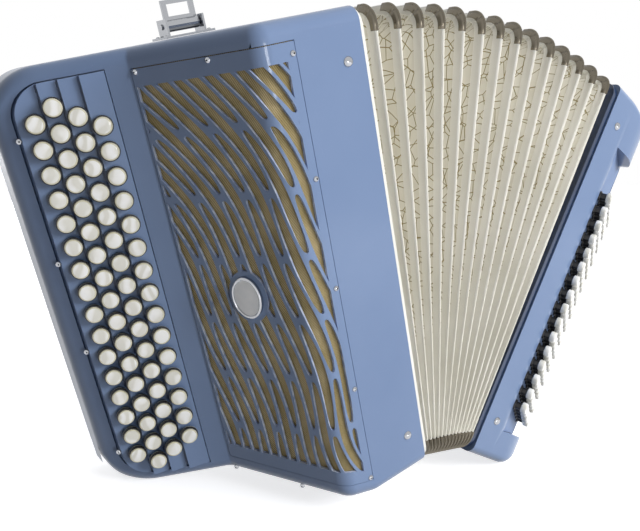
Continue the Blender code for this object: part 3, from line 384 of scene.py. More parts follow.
def on_front(u, depth):
    """The plan place of a point of the flat grille, at a depth below the front's surface."""
    if u < BEND_START:
        return Vector((-FROM_BELLOWS - u, depth))
    if u < BEND_END:
        turn = (u - BEND_START) / BEND_RADIUS
        radius = BEND_RADIUS - depth
        return Vector((BEND.x + TANGENT - radius * math.sin(turn), BEND_RADIUS - radius * math.cos(turn)))
    return BEND + SLANT_WAY * (TANGENT + u - BEND_END) - SLANT_OUT * depth


def bent(solid):
    """Bends a flat (u, depth, z) object round the front; the flat layout stays as a UV map in mm."""
    shape = bmesh.new()
    shape.from_mesh(solid.data)
    slice_at(shape, [BEND_START + (BEND_END - BEND_START) * step / 12 for step in range(13)])
    layout = shape.loops.layers.uv.new("flat")
    for face in shape.faces:
        for loop in face.loops:
            loop[layout].uv = (loop.vert.co.x * 1000, loop.vert.co.z * 1000)
    for vertex in shape.verts:
        vertex.co.x, vertex.co.y = on_front(vertex.co.x, vertex.co.y)
    shape.normal_update()
    bmesh.ops.recalc_face_normals(shape, faces=shape.faces)
    shape.to_mesh(solid.data)
    shape.free()
    return solid


def grille_outline(side, ends, valley):
    """The flat outline, drawn in at its bellows side, its two ends and its valley side."""
    top = HEIGHT - GRILLE_MARGIN - ends
    outline = [(side, top), (GRILLE_LENGTH - valley, top)]
    for u in (GRILLE_LENGTH, BEND_END, BEND_START, 0):
        rise = max(0.0, -on_front(u, 0).x - FOOT_FLAT) * FOOT_SLOPE
        outline.append((min(max(u, side), GRILLE_LENGTH - valley), GRILLE_MARGIN + rise + ends))
    return outline


ROWS, PITCH, SPACING = ((16, 0.5), (17, 0.0), (16, 0.5), (15, 1.0)), 0.0186, 0.01546
TILT = math.radians(18)
TREAD_OUT = Vector((-math.sin(TILT), -math.cos(TILT)))
TREAD_WAY = Vector((math.cos(TILT), -math.sin(TILT)))
TREAD_HALF = SPACING * math.cos(SLOPE - TILT) / 2
STAND, BOARD_LOW, BOARD_HIGH, TOP_BUTTON = 0.0088, 0.0335, 0.3695, 0.3516
GROOVE_WIDTH, GROOVE_DEPTH = 0.0020, 0.0030


def tread(row):
    """The middle of a row's step, from above."""
    return Vector((-0.2045, 0.1227)) - FINGER_WAY * SPACING * row - TREAD_OUT * STAND


def finger_plan(grow):
    """The stepped plate from above, with a narrow groove along the foot of each step."""
    treads = [tread(0) - TREAD_WAY * (0.0195 + grow)]
    stairs = treads[:]
    for row in range(4):
        near = tread(row) - TREAD_WAY * (TREAD_HALF - 0.0005)
        far = tread(row) + TREAD_WAY * (TREAD_HALF + 0.0005 if row < 3 else 0.0105 + grow)
        treads.append(far)
        if row:
            stairs.append(near)
        if row < 3:
            lip = far - TREAD_WAY * GROOVE_WIDTH
            stairs += [lip, lip - TREAD_OUT * GROOVE_DEPTH, far - TREAD_OUT * GROOVE_DEPTH]
        else:
            stairs.append(far)
    floor = max(point.dot(FINGER_IN) for point in treads) + 0.005 + grow
    ends = [end + FINGER_IN * (floor - end.dot(FINGER_IN)) for end in (stairs[-1], stairs[0])]
    return stairs + ends


def button_places(row):
    """The foot of each button's cap in a row, from the top down."""
    count, start = ROWS[row]
    for place in range(count):
        yield Vector((*tread(row), TOP_BUTTON - (start + place) * PITCH))


carve(casing, bent(prism(grille_outline(0, 0, 0), -0.004, 0.0036, "y")))
carve(casing, bent(prism(grille_outline(0.005, 0.005, 0.005), 0.001, 0.012, "y")))
plan = finger_plan(0.0007)
lift = FINGER_IN * 0.03
opening = [plan[0] - lift, plan[0], plan[-1], plan[-2], plan[-3], plan[-3] - lift]
opening = prism(opening, BOARD_LOW - 0.0009, BOARD_HIGH + 0.0009)
carve(casing, carve(opening, prism(treble_front(0.0113), -0.01, DEPTH + 0.01, "y"), "INTERSECT"))
in_place(casing, TREBLE)
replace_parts(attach(casing, "treble"), "treble_casing")

# Front grille: a thin bent plate let into the front, lacquered like the casing. It is cut through by slender
# pointed leaves that follow a slow wave, and the cut edges are pale: partly their own raw colour, partly a
# painted highlight.
# Cut edge of the plate: painted pale, partly as its own raw colour where the lacquer is thin and partly as a
# painted highlight, in patches about 6 mm wide
pale_edge_and_highlight, shader = paint("pale_cut_edge_and_highlight")
place = node(pale_edge_and_highlight, "TexCoord")
edge_patches = node(pale_edge_and_highlight, "TexNoise", Vector=(place, "Object"), Scale=160.0, Detail=3.0)
tint = node(pale_edge_and_highlight, "ValToRGB", Fac=(edge_patches, "Fac"), stops=((0.35, "#8FA2CB"), (0.65, "#D3DCEE")))
wire(pale_edge_and_highlight, tint, "Color", shader, "Base Color")
tune(shader, Roughness=0.45)


WAVE_DRIFT, LEAF_SHEAR = 0.12, 0.35
LEAF_STEP, LEAF_PITCH, LEAF_HALF, LEAF_RIB = GRILLE_LENGTH / 13, 0.098, 0.0465, 0.0014
BADGE_FROM_BEND, BADGE_HALF_WIDTH, BADGE_HALF_LENGTH = 0.042, 0.0125, 0.017


def wave(z, u):
    """How a point of the leaf pattern is shifted sideways."""
    phase = u / WAVE_DRIFT
    waves = 0.020 * math.sin(math.tau * z / 0.34 + phase)
    waves += 0.008 * math.sin(math.tau * z / 0.19 + 2.1 * phase)
    return u + LEAF_SHEAR * (z - HEIGHT / 2) + waves


def oval(grow):
    """The badge's outline on the flat grille, grown by a margin."""
    outline = []
    for step in range(48):
        turn = math.tau * step / 48
        u = BEND_END + BADGE_FROM_BEND + (BADGE_HALF_WIDTH + grow) * math.cos(turn)
        outline.append((u, HEIGHT / 2 + (BADGE_HALF_LENGTH + grow) * math.sin(turn)))
    return outline


shape = bmesh.new()
for column in range(-10, 22):
    for level in range(6):
        u, z = column * LEAF_STEP, (level - 0.25 + 0.5 * (column % 2)) * LEAF_PITCH
        outline = []
        for side in (1, -1):
            for step in range(16):
                along = z - LEAF_HALF * math.cos(math.pi * step / 16) * side
                half = (LEAF_STEP - LEAF_RIB) / 2 * math.sin(math.pi * step / 16) ** 0.6 * side
                outline.append((wave(along, u + half), along))
        leaf = prism(outline, -0.008, 0.008, "y")
        shape.from_mesh(leaf.data)
        bpy.data.objects.remove(leaf)
leaves = piece("leaves", shape)
window = prism(grille_outline(0.008, 0.013, 0.0025), -0.01, 0.01, "y")
carve(leaves, carve(window, prism(oval(0.004), -0.02, 0.02, "y")), "INTERSECT")
grille = carve(prism(grille_outline(0.0007, 0.0007, 0.0007), -0.0004, 0.002, "y"), leaves)
grille.name = "grille_plate"
dress(grille, lacquer, pale_edge_and_highlight)
# The cut walls of the leaves get the pale edge, which is partly a painted highlight
for face in grille.data.polygons:
    u, depth, z = face.center
    inside = 0.003 < u < GRILLE_LENGTH - 0.002 and HEIGHT - 0.018 > z
    face.material_index = int(inside and abs(face.normal.y) < 0.5 and z > 0.02)
in_place(bent(grille), TREBLE)
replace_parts(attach(grille, "treble"), "front_grille")

# Grille cloth: a gold woven cloth stretched behind the openings, so that no dust gets in.
# It is held between the grille and the casing.
# Gold weave: a metallic twill in millimetres on the flat layout, with bands 1.1 mm and 0.6 mm apart; the
# hollows of the weave are painted dark as painted shade and its raised threads pale as a painted highlight.
# The real threads are finer than the picture can show
gold, shader = paint("gold_weave")
flat = node(gold, "UVMap", {"uv_map": "flat"})
threads = node(gold, "VectorMath", {"operation": "SCALE"}, _0=(flat, "UV"), _3=1.3)
SLOPING, UPRIGHT = {"bands_direction": "DIAGONAL"}, {"bands_direction": "X"}
twill = node(gold, "TexWave", SLOPING, Vector=(threads, "Vector"), Scale=0.3, Distortion=0.8)
cross = node(gold, "TexWave", UPRIGHT, Vector=(threads, "Vector"), Scale=0.4, Distortion=0.5)
weave = node(gold, "Math", {"operation": "MULTIPLY"}, _0=(twill, "Fac"), _1=(cross, "Fac"))
# Painted shade and highlight: dark in the weave's hollows, pale on its raised threads
WEAVE_SHADE_AND_HIGHLIGHT = ((0.05, "#6E654C"), (0.35, "#B8AA84"), (0.8, "#F4E8C4"))
shade = node(gold, "ValToRGB", Fac=(weave, "Value"), stops=WEAVE_SHADE_AND_HIGHLIGHT)
drift = node(gold, "TexNoise", Vector=(flat, "UV"), Scale=0.035, Detail=2.0)
warm = node(gold, "ValToRGB", Fac=(drift, "Fac"), stops=((0.35, "#CFC49C"), (0.7, "#FFF5E0")))
DARKEN = {"data_type": "RGBA", "blend_type": "MULTIPLY"}
cloth = node(gold, "Mix", DARKEN, _0=1.0, _6=(shade, "Color"), _7=(warm, "Color"))
wire(gold, cloth, "Result", shader, "Base Color")
raise_ = node(gold, "Bump", Strength=0.5, Distance=0.0003, Height=(weave, "Value"))
wire(gold, raise_, "Normal", shader, "Normal")
tune(shader, Metallic=0.25, Roughness=0.42)
cloth = bent(prism(grille_outline(0.0003, 0.0003, 0.0003), 0.0023, 0.0031, "y"))
cloth.name = "grille_cloth"
dress(cloth, gold)
in_place(cloth, TREBLE)
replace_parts(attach(cloth, "treble"), "grille_mesh")

# Badge: an oval disc of white enamel, slightly domed, set in a turned chrome rim.
# It is fixed on the slanted part of the grille, and it is plain.
# Chrome plate: bright metal with faint polishing marks, about 4 mm wide
chrome, shader = paint("chrome")
place = node(chrome, "TexCoord")
marks = node(chrome, "TexNoise", Vector=(place, "Object"), Scale=240.0, Detail=4.0)
dull = node(chrome, "MapRange", Value=(marks, "Fac"), To_Min=0.1, To_Max=0.26)
wire(chrome, dull, "Result", shader, "Roughness")
tune(shader, Base_Color=srgb("#AFB1B5"), Metallic=1.0)
# White enamel, fired and glossy: nearly even, with faint clouds 8 mm wide
enamel, shader = paint("white_enamel")
place = node(enamel, "TexCoord")
tone = node(enamel, "TexNoise", Vector=(place, "Object"), Scale=120.0, Detail=2.0)
white = node(enamel, "ValToRGB", Fac=(tone, "Fac"), stops=((0.3, "#F6F8FA"), (0.7, "#FFFFFF")))
wire(enamel, white, "Color", shader, "Base Color")
tune(shader, Roughness=0.12, Coat_Weight=1.0)


def turned(shape, profile, place, steps=24):
    """Adds a turned form of (radius, height, material of the band that starts there) points, at a place."""
    last = None
    for radius, height, index in profile:
        ring = []
        for step in range(steps if radius else 1):
            turn = math.tau * step / steps
            point = Vector((radius * math.cos(turn), radius * math.sin(turn), height))
            ring.append(shape.verts.new(place @ point))
        if last:
            for step in range(steps):
                after = (step + 1) % steps
                corners = (last[step % len(last)], last[after % len(last)])
                corners += (ring[after % len(ring)], ring[step % len(ring)])
                shape.faces.new(list(dict.fromkeys(corners))).material_index = paint_index
        last, paint_index = ring, index
    return shape


def facing(point, out):
    """A place at a point, with its own z pointing out."""
    return Matrix.Translation(point) @ Vector(out).to_track_quat("Z", "Y").to_matrix().to_4x4()


shape = bmesh.new()
profile = [(0, 0.0033, 1), (0.4, 0.0032, 1), (0.75, 0.0028, 1), (0.86, 0.0024, 0), (0.87, 0.0032, 0)]
profile += [(0.91, 0.0037, 0), (0.96, 0.0035, 0), (1, 0.0028, 0), (1, 0, 0), (0, 0, 0)]
middle = on_front(BEND_END + BADGE_FROM_BEND, -0.0007)
stretch = Matrix.Diagonal((BADGE_HALF_WIDTH, BADGE_HALF_LENGTH, 1, 1))
across = Matrix((SLANT_WAY.to_3d(), Vector((0, 0, 1)), SLANT_OUT.to_3d())).transposed().to_4x4()
turned(shape, profile, TREBLE @ Matrix.Translation((*middle, HEIGHT / 2)) @ across @ stretch, 48)
badge = piece("badge", shape, chrome, enamel)
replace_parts(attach(badge, "treble"), "grille_badge")

# Grille screws: small domed screws with a dark socket, of chrome-plated steel.
# They hold the grille along its edges.
# Black plastic, moulded: a fine grain of about 1 mm
black, shader = paint("black_plastic")
place = node(black, "TexCoord")
grain = node(black, "TexNoise", Vector=(place, "Object"), Scale=900.0, Detail=2.0)
dark = node(black, "ValToRGB", Fac=(grain, "Fac"), stops=((0.3, "#0B0B0D"), (0.7, "#1A1A1D")))
wire(black, dark, "Color", shader, "Base Color")
tune(shader, Roughness=0.35)


def screws(name, matrix, places, radius=0.0022):
    """Domed screw heads with a dark socket, each at a (point, out) place of a casing."""
    head = [(0, 0.4, 1), (0.24, 0.4, 0), (0.3, 0.66, 0), (0.75, 0.5, 0), (0.95, 0.25, 0)]
    head += [(1, 0, 0), (0, 0, 0)]
    head = [(wide * radius, high * radius, index) for wide, high, index in head]
    shape = bmesh.new()
    for point, out in places:
        turned(shape, head, matrix @ facing(point, out), 20)
    return piece(name, shape, chrome, black)


places = []
for u, z in ((0.128, 0.3645), (0.066, 0.3645), (0.128, 0.030), (0.066, 0.0195)):
    places.append(((*on_front(u, -0.0004), z), SLANT_OUT.to_3d()))
for z in (0.359, 0.273, 0.189, 0.103, 0.0195):
    places.append(((-FROM_BELLOWS - 0.003, -0.0004, z), (0, -1, 0)))
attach(screws("grille_screws", TREBLE, places), "treble")

# Fingerboard: a lacquered plate stepped like stairs, with a hole under each button, a groove at each step
# and slightly rounded edges. It drops into the keyboard wing, and four screws hold its outer edge.
board = prism(finger_plan(0), BOARD_LOW, BOARD_HIGH)
carve(board, prism(treble_front(0.0122), -0.01, DEPTH + 0.01, "y"), "INTERSECT")
bevel = board.modifiers.new("edges", "BEVEL")
bevel.width, bevel.segments, bevel.limit_method, bevel.angle_limit = 0.0008, 3, "ANGLE", math.radians(40)
settle(board)
shape = bmesh.new()
for row in range(4):
    for point in button_places(row):
        hole = [(0, -0.03, 0), (0.0034, -0.03, 0), (0.0034, 0.02, 0), (0, 0.02, 0)]
        turned(shape, hole, facing(point, TREAD_OUT.to_3d()), 16)
carve(board, piece("holes", shape))
board.name = "finger_plate"
dress(board, lacquer)
in_place(board, TREBLE, 30)
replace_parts(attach(board, "treble"), "fingerboard")
places = []
for z in (0.3326, 0.2378, 0.1624, 0.0675):
    places.append(((*(tread(0) - TREAD_WAY * 0.0145), z), TREAD_OUT.to_3d()))
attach(screws("finger_screws", TREBLE, places), "treble")

# Treble buttons: four rows of turned caps, each a pearl disc in a cream rim on a black base.
# Each sits on a stem that runs down through the fingerboard, and a row moves as one.
# Pearl celluloid, polished: soft swirls about 12 mm apart, with a sheen
pearl, shader = paint("pearl")
place = node(pearl, "TexCoord")
warp = node(pearl, "TexNoise", Vector=(place, "Object"), Scale=95.0, Detail=2.0)
swirl = node(pearl, "TexWave", Vector=(place, "Object"), Scale=26.0, Distortion=14.0, Detail=2.0)
both = node(pearl, "Math", {"operation": "MULTIPLY"}, _0=(warp, "Fac"), _1=(swirl, "Fac"))
MILK = ((0.08, "#E6E4DA"), (0.3, "#F8F7F2"), (0.55, "#FFFFFD"))
milk = node(pearl, "ValToRGB", Fac=(both, "Value"), stops=MILK)
wire(pearl, milk, "Color", shader, "Base Color")
tune(shader, Roughness=0.16, Coat_Weight=0.6, Coat_Roughness=0.03)
# Cream plastic, turned: nearly even and a little warm, in patches about 17 mm wide
cream, shader = paint("cream_plastic")
place = node(cream, "TexCoord")
tone = node(cream, "TexNoise", Vector=(place, "Object"), Scale=60.0, Detail=2.0)
ivory = node(cream, "ValToRGB", Fac=(tone, "Fac"), stops=((0.3, "#D9D4B8"), (0.7, "#E6E2CB")))
wire(cream, ivory, "Color", shader, "Base Color")
tune(shader, Roughness=0.3)
BUTTON = [(0, 0.0088, 0), (0.0036, 0.0088, 0), (0.0054, 0.0086, 0)]
BUTTON += [(0.0055, 0.0084, 1), (0.0058, 0.0086, 1), (0.0063, 0.0084, 1), (0.0066, 0.0079, 1)]
BUTTON += [(0.0066, 0.0072, 2), (0.0064, 0.0068, 2), (0.0064, 0.0063, 2)]
BUTTON += [(0.0072, 0.0062, 2), (0.0075, 0.0058, 2)]
BUTTON += [(0.0075, 0.0049, 1), (0.0075, 0.0042, 1), (0.0072, 0.0037, 2), (0.0028, 0.0037, 2)]
BUTTON += [(0.0028, -0.0140, 2), (0, -0.0140, 2)]
for row in range(4):
    shape = bmesh.new()
    for point in button_places(row):
        turned(shape, BUTTON, TREBLE @ facing(point, TREAD_OUT.to_3d()), 28)
    buttons = piece(f"treble_buttons_{row + 1}", shape, pearl, cream, black)
    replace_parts(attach(buttons, f"treble_row_{row + 1}"), f"treble_button_row_{row + 1}")

# Bellows: fourteen folds of printed card between the two casings, opened like a fan.
# White cloth tape is glued along each fold, and pressed metal elbows guard the corners.
# White tape, woven cotton: fine ribs 0.65 mm apart, and soil in faint clouds about 70 mm wide
tape, shader = paint("bellows_tape")
place = node(tape, "TexCoord")
LEVEL = {"bands_direction": "Z"}
rib = node(tape, "TexWave", LEVEL, Vector=(place, "Object"), Scale=480.0, Distortion=1.2, Detail=1.0)
cloud = node(tape, "TexNoise", Vector=(place, "Object"), Scale=14.0, Detail=3.0)
soil = node(tape, "ValToRGB", Fac=(cloud, "Fac"), stops=((0.3, "#EFEDE3"), (0.7, "#FAF8F1")))
wire(tape, soil, "Color", shader, "Base Color")
ribbed = node(tape, "Bump", Strength=0.35, Distance=0.0002, Height=(rib, "Fac"))
wire(tape, ribbed, "Normal", shader, "Normal")
tune(shader, Roughness=0.62, Sheen_Weight=0.15)
# Tape edge: the same cloth, folded over and rubbed smoother, with clouds 50 mm wide
tape_edge, shader = paint("tape_edge")
place = node(tape_edge, "TexCoord")
cloud = node(tape_edge, "TexNoise", Vector=(place, "Object"), Scale=20.0, Detail=3.0)
pale = node(tape_edge, "ValToRGB", Fac=(cloud, "Fac"), stops=((0.3, "#E3E0D2"), (0.7, "#F2F0E6")))
wire(tape_edge, pale, "Color", shader, "Base Color")
tune(shader, Roughness=0.45)
# Printed paper: fine gold lines that cross at random, on a warm white, in millimetres
paper, shader = paint("bellows_paper")
flat = node(paper, "UVMap", {"uv_map": "flat"})
SPREAD = {"feature": "DISTANCE_TO_EDGE", "voronoi_dimensions": "2D"}
WIDE_CELL_MM, FINE_CELL_MM = 19, 12
cells = node(paper, "TexVoronoi", SPREAD, Vector=(flat, "UV"), Scale=1 / WIDE_CELL_MM)
fans = node(paper, "TexVoronoi", SPREAD, Vector=(flat, "UV"), Scale=1 / FINE_CELL_MM)
WIDE_LINE = ((0.0, "#FFFFFF"), (0.013, "#FFFFFF"), (0.021, "#000000"))
FINE_LINE = ((0.0, "#FFFFFF"), (0.018, "#FFFFFF"), (0.030, "#000000"))
coarse = node(paper, "ValToRGB", Fac=(cells, "Distance"), stops=WIDE_LINE)
fine = node(paper, "ValToRGB", Fac=(fans, "Distance"), stops=FINE_LINE)
lines = node(paper, "Math", {"operation": "MAXIMUM"}, _0=(coarse, "Color"), _1=(fine, "Color"))
grey = node(paper, "TexNoise", Vector=(flat, "UV"), Scale=0.03, Detail=4.0)
ground = node(paper, "ValToRGB", Fac=(grey, "Fac"), stops=((0.3, "#E6E2D5"), (0.7, "#F1EEE4")))
printed = node(paper, "Mix", BLEND, Factor=(lines, "Value"), _6=(ground, "Color"), _7=srgb("#8B7B3F"))
wire(paper, printed, "Result", shader, "Base Color")
tune(shader, Roughness=0.5)
# Nickel plate, pressed and dull: soft marks about 3 mm wide in its roughness, and a dark base colour that is
# painted shade for the dark surroundings it reflects
nickel, shader = paint("dark_nickel")
place = node(nickel, "TexCoord")
marks = node(nickel, "TexNoise", Vector=(place, "Object"), Scale=320.0, Detail=4.0)
dull = node(nickel, "MapRange", Value=(marks, "Fac"), To_Min=0.2, To_Max=0.4)
wire(nickel, dull, "Result", shader, "Roughness")
# The dark base colour is painted shade, standing in for dark reflections
tune(shader, Base_Color=srgb("#736D61"), Metallic=1.0)

BASS_LEAN = math.radians(25.45609)
BASS = Matrix.Translation((0.073181, -0.090134, 0.024903)) @ Matrix.Rotation(BASS_LEAN, 4, "Y")
FOLDS, PEAK, VALLEY_INSET = 14, 0.0015, 0.0255
FAN_START, FAN_STOP = TREBLE @ Vector((0.0043, 0, 0)), BASS @ Vector((-0.0063, 0, 0))
TAPE_FROM, METAL_FROM, METAL_LENGTH = 0.72, 0.84, 0.018
TAPE_LIFT, METAL_LIFT, CARD = 0.0004, 0.0008, 0.0005
PEAK_ROUND, VALLEY_ROUND, WALL_MM = 0.013, 0.003, 26


def fan_turn(share):
    """How the fan's plane leans at a share of the way from treble to bass."""
    return Matrix.Rotation(-TREBLE_LEAN + (TREBLE_LEAN + BASS_LEAN) * share, 3, "Y")


def fan(share, y, z):
    """A point on the fan's plane at a share of the way from treble to bass."""
    return FAN_START.lerp(FAN_STOP, share) + fan_turn(share) @ Vector((0, y, z))


def on_side(side, inset, along):
    """The (y, z) of a point on one of four sides, at an inset and a share of the side; corners are round."""
    length = (HEIGHT if side in ("front", "back") else DEPTH) - 2 * inset
    radius = VALLEY_ROUND + (PEAK_ROUND - VALLEY_ROUND) * (VALLEY_INSET - inset) / (VALLEY_INSET - PEAK)
    place = min(along, 1 - along) * length
    deep = inset
    if place < radius:
        turn = math.pi / 4 * (1 - place / radius)
        place = radius - radius * math.sin(turn)
        deep += radius - radius * math.cos(turn)
    place = inset + (place if along < 0.5 else length - place)
    return {
        "front": (deep, place),
        "back": (DEPTH - deep, place),
        "foot": (place, deep),
        "top": (place, HEIGHT - deep),
    }[side]


def bellows_outline(inset, radius):
    """The round-cornered (y, z) outline of the bellows, drawn in by an inset."""
    return rounded(
        (inset, inset, radius),
        (DEPTH - inset, inset, radius),
        (DEPTH - inset, HEIGHT - inset, radius),
        (inset, HEIGHT - inset, radius),
    )


def half_wall(fold, half, side):
    """One side of a fold between its valley and its peak: printed paper, raised tape and metal corners."""
    valley, peak = (fold + half) / FOLDS, (fold + 0.5) / FOLDS
    length = HEIGHT if side in ("front", "back") else DEPTH
    corner = METAL_LENGTH / length
    ends = [corner * share for share in (0, 0.18, 0.36, 0.54, 0.72, 1, 1.03)]
    cuts = ends + [ends[-1] + (1 - 2 * ends[-1]) * step / 8 for step in range(1, 8)]
    cuts += [1 - cut for cut in reversed(ends)]
    rises = (0, 0.3, TAPE_FROM - 0.015, TAPE_FROM, METAL_FROM - 0.015, METAL_FROM, 0.92, 1)

    def place(rise, along):
        """A point of the wall; along is a share of the outermost edge, so that elbows end square."""
        inset = VALLEY_INSET + (PEAK - VALLEY_INSET) * rise
        end = max(METAL_LENGTH + PEAK - inset, 0.2 * METAL_LENGTH) / (length - 2 * inset)
        near = min(along, 1 - along)
        near = near / corner * end if near < corner else end + (near - corner) * (0.5 - end) / (0.5 - corner)
        return fan(valley + (peak - valley) * rise, *on_side(side, inset, near if along < 0.5 else 1 - near))

    shape = bmesh.new()
    layout = shape.loops.layers.uv.new("flat")
    spots = {}
    rows = []
    for rise in rises:
        row = []
        for along in cuts:
            end = min(along, 1 - along) <= corner * 1.001
            lift = METAL_LIFT if end and rise >= METAL_FROM else TAPE_LIFT if rise >= TAPE_FROM else 0
            here = place(rise, along)
            normal = (place(rise + 0.01, along) - here).cross(place(rise, along + 0.01) - here).normalized()
            outward = normal.x < 0 if half == 0 else normal.x > 0
            row.append(shape.verts.new(here + normal * (lift if outward else -lift)))
            spots[row[-1]] = (along * length * 1000 + 53 * fold + 29 * half, rise * WALL_MM + 71 * fold)
        rows.append(row)
    for up in range(len(rises) - 1):
        for step in range(len(cuts) - 1):
            corners = (rows[up][step], rows[up][step + 1], rows[up + 1][step + 1], rows[up + 1][step])
            end = min(cuts[step], 1 - cuts[step + 1]) < corner * 0.99
            metal = end and rises[up] >= METAL_FROM - 0.02
            face = shape.faces.new(corners)
            face.material_index = 2 if metal else int(rises[up] >= TAPE_FROM - 0.02)
            for loop in face.loops:
                loop[layout].uv = spots[loop.vert]
    wall = piece(f"fold_{fold + 1:02d}_{side}_{'ab'[half]}", shape, paper, tape, nickel, angle=40)
    thick = wall.modifiers.new("card", "SOLIDIFY")
    thick.thickness, thick.offset = CARD, 0
    settle(wall)
    near, far = place(0, 0.5), place(1, 0.5)
    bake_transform(wall)
    return wall


for fold in range(FOLDS):
    walls = [half_wall(fold, half, side) for half in (0, 1) for side in ("front", "back", "top", "foot")]
    # The bead along the peak, with metal elbows at its corners
    share = (fold + 0.5) / FOLDS
    sideways = fan_turn(share) @ Vector((1, 0, 0))
    path = bellows_outline(PEAK, PEAK_ROUND)
    points = []
    for index, here in enumerate(path):
        points.append(here)
        run = path[(index + 1) % len(path)] - here
        leg = METAL_LENGTH - PEAK_ROUND
        if run.length > 0.05:
            for reach in (leg, leg + 0.0002, run.length - leg - 0.0002, run.length - leg):
                points.append(here + run * (reach / run.length))
    shape = bmesh.new()
    rings = []
    metals = []
    for index, (y, z) in enumerate(points):
        run = points[(index + 1) % len(points)] - points[index - 1]
        out = Vector((run.y, -run.x)).normalized()
        elbow = PEAK + METAL_LENGTH + 0.0001
        metal = min(y, DEPTH - y) < elbow and min(z, HEIGHT - z) < elbow
        tall, wide = (0.0022, 0.0010) if metal else (0.0010, 0.0008)
        ring = []
        for step in range(12):
            turn = math.tau * step / 12
            away = out * (tall * math.cos(turn) - 0.0006)
            point = fan(share, y + away.x, z + away.y)
            ring.append(shape.verts.new(point + sideways * wide * math.sin(turn)))
        rings.append(ring)
        metals.append(metal)
    for index, ring in enumerate(rings):
        after = (index + 1) % len(rings)
        for step in range(12):
            turn = (step + 1) % 12
            face = shape.faces.new((ring[step], ring[turn], rings[after][turn], rings[after][step]))
            face.material_index = int(metals[index] or metals[after])
    bead = piece(f"fold_{fold + 1:02d}_edge", shape, tape_edge, nickel, angle=50)
    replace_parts(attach(bead, f"fold_{fold + 1:02d}"), f"bellows_fold_{fold + 1:02d}")

# Bellows frames: flat wooden frames that the end folds are glued to.
# The treble one is covered with white tape, and the bass one is lacquered navy.
# Navy lacquer, brushed: a deep blue, uneven over 25 mm, under a clear coat
navy, shader = paint("navy_lacquer")
place = node(navy, "TexCoord")
tone = node(navy, "TexNoise", Vector=(place, "Object"), Scale=40.0, Detail=3.0)
deep = node(navy, "ValToRGB", Fac=(tone, "Fac"), stops=((0.3, "#1E2E4A"), (0.7, "#283B5C")))
wire(navy, deep, "Color", shader, "Base Color")
tune(shader, Roughness=0.3, Coat_Weight=0.4)
FRAME_BAR = 0.022
for name, body, matrix, low, high, material in (
    ("treble_rim", "treble", TREBLE, 0.0003, 0.004, tape),
    ("bass_rim", "bass", BASS, -0.006, -0.0003, navy),
):
    hole = prism(bellows_outline(FRAME_BAR, 0.004), low - 0.01, high + 0.01, "x")
    rim = carve(prism(bellows_outline(PEAK, PEAK_ROUND), low, high, "x"), hole)
    rim.name = name
    bevel = rim.modifiers.new("edges", "BEVEL")
    bevel.width, bevel.segments, bevel.limit_method = 0.0006, 2, "ANGLE"
    settle(rim)
    dress(rim, material)
    in_place(rim, matrix)
    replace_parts(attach(rim, body), f"{body}_bellows_frame")

# Bass casing: the left hand's body, a rounded hollow box with the treble side's blue lacquer.
# A slanting recess between two ears takes the button board.
WIDTH, BOARD_FOOT, BOARD_TOP, EAR_ROUND, EAR_WALL = 0.092, 0.030, 0.330, 0.020, 0.014
BASS_ROWS, BASS_COLUMNS, BASS_PITCH, COLUMN_SLANT = 5, 16, 0.0148, 0.0026
FIRST_ROW, ROW_SPACING, LOWEST_BUTTON = 0.0085, 0.0115, 0.058
AIR_PLACE = (WIDTH, 0.082, 0.307)
BOARD_SLOPE = math.radians(26)
BOARD_START = Vector((0.030, 0))
BOARD_WAY = Vector((math.cos(BOARD_SLOPE), math.sin(BOARD_SLOPE)))
BOARD_OUT = Vector((math.sin(BOARD_SLOPE), -math.cos(BOARD_SLOPE)))


def bass_plan(inset):
    """The bass casing from above, drawn in by an inset."""
    return rounded(
        (0, inset, 0),
        (WIDTH - inset, inset, 0.046 - inset),
        (WIDTH - inset, DEPTH - inset, 0.016 - inset),
        (0, DEPTH - inset, 0),
    )


def bass_front(inset):
    """The bass casing from the front, drawn in by an inset."""
    return rounded(
        (0, inset, 0),
        (WIDTH - inset, inset, 0.044 - inset),
        (WIDTH - inset, HEIGHT - inset, 0.066 - inset),
        (0, HEIGHT - inset, 0),
    )


def board_plan(near, far, shallow, deep):
    """A four-sided plan along the slant of the button board, between two depths below its face."""
    places = ((near, shallow), (far, shallow), (far, deep), (near, deep))
    return [BOARD_START + BOARD_WAY * along - BOARD_OUT * depth for along, depth in places]


def bass_places(row):
    """The foot of each bass button in a row, on the board's face."""
    for column in range(BASS_COLUMNS):
        along = BOARD_START + BOARD_WAY * (FIRST_ROW + row * ROW_SPACING)
        yield Vector((*along, LOWEST_BUTTON + column * BASS_PITCH - row * COLUMN_SLANT))


bass = shell("bass_body", bass_plan, bass_front, WIDTH, 0.008, lacquer)
for low in (BOARD_FOOT - EAR_WALL, BOARD_TOP):
    wall = prism(bass_plan(0.003), low, low + EAR_WALL)
    carve(wall, prism(bass_front(0.003), -0.01, 0.2, "y"), "INTERSECT")
    carve(wall, prism(board_plan(-0.05, 0.14, -0.06, 0.006), low - 0.01, low + 0.024), "INTERSECT")
    carve(bass, wall, "UNION")
outer, low, high = WIDTH + 0.0003, BOARD_FOOT - EAR_ROUND - 0.006, BOARD_TOP + EAR_ROUND + 0.006
ends = [(-0.006, BOARD_FOOT, 0), (outer, BOARD_FOOT, EAR_ROUND), (outer, low, 0), (0.14, low, 0)]
ends += [(0.14, high, 0), (outer, high, 0), (outer, BOARD_TOP, EAR_ROUND), (-0.006, BOARD_TOP, 0)]
recess = prism(board_plan(-0.05, 0.14, -0.06, 0), low - 0.006, high + 0.006)
carve(bass, carve(recess, prism(rounded(*ends), -0.19, 0.19, "y"), "INTERSECT"))
carve(bass, prism(board_plan(0.0057, 0.0643, -0.0001, 0.0036), BOARD_FOOT, BOARD_TOP))
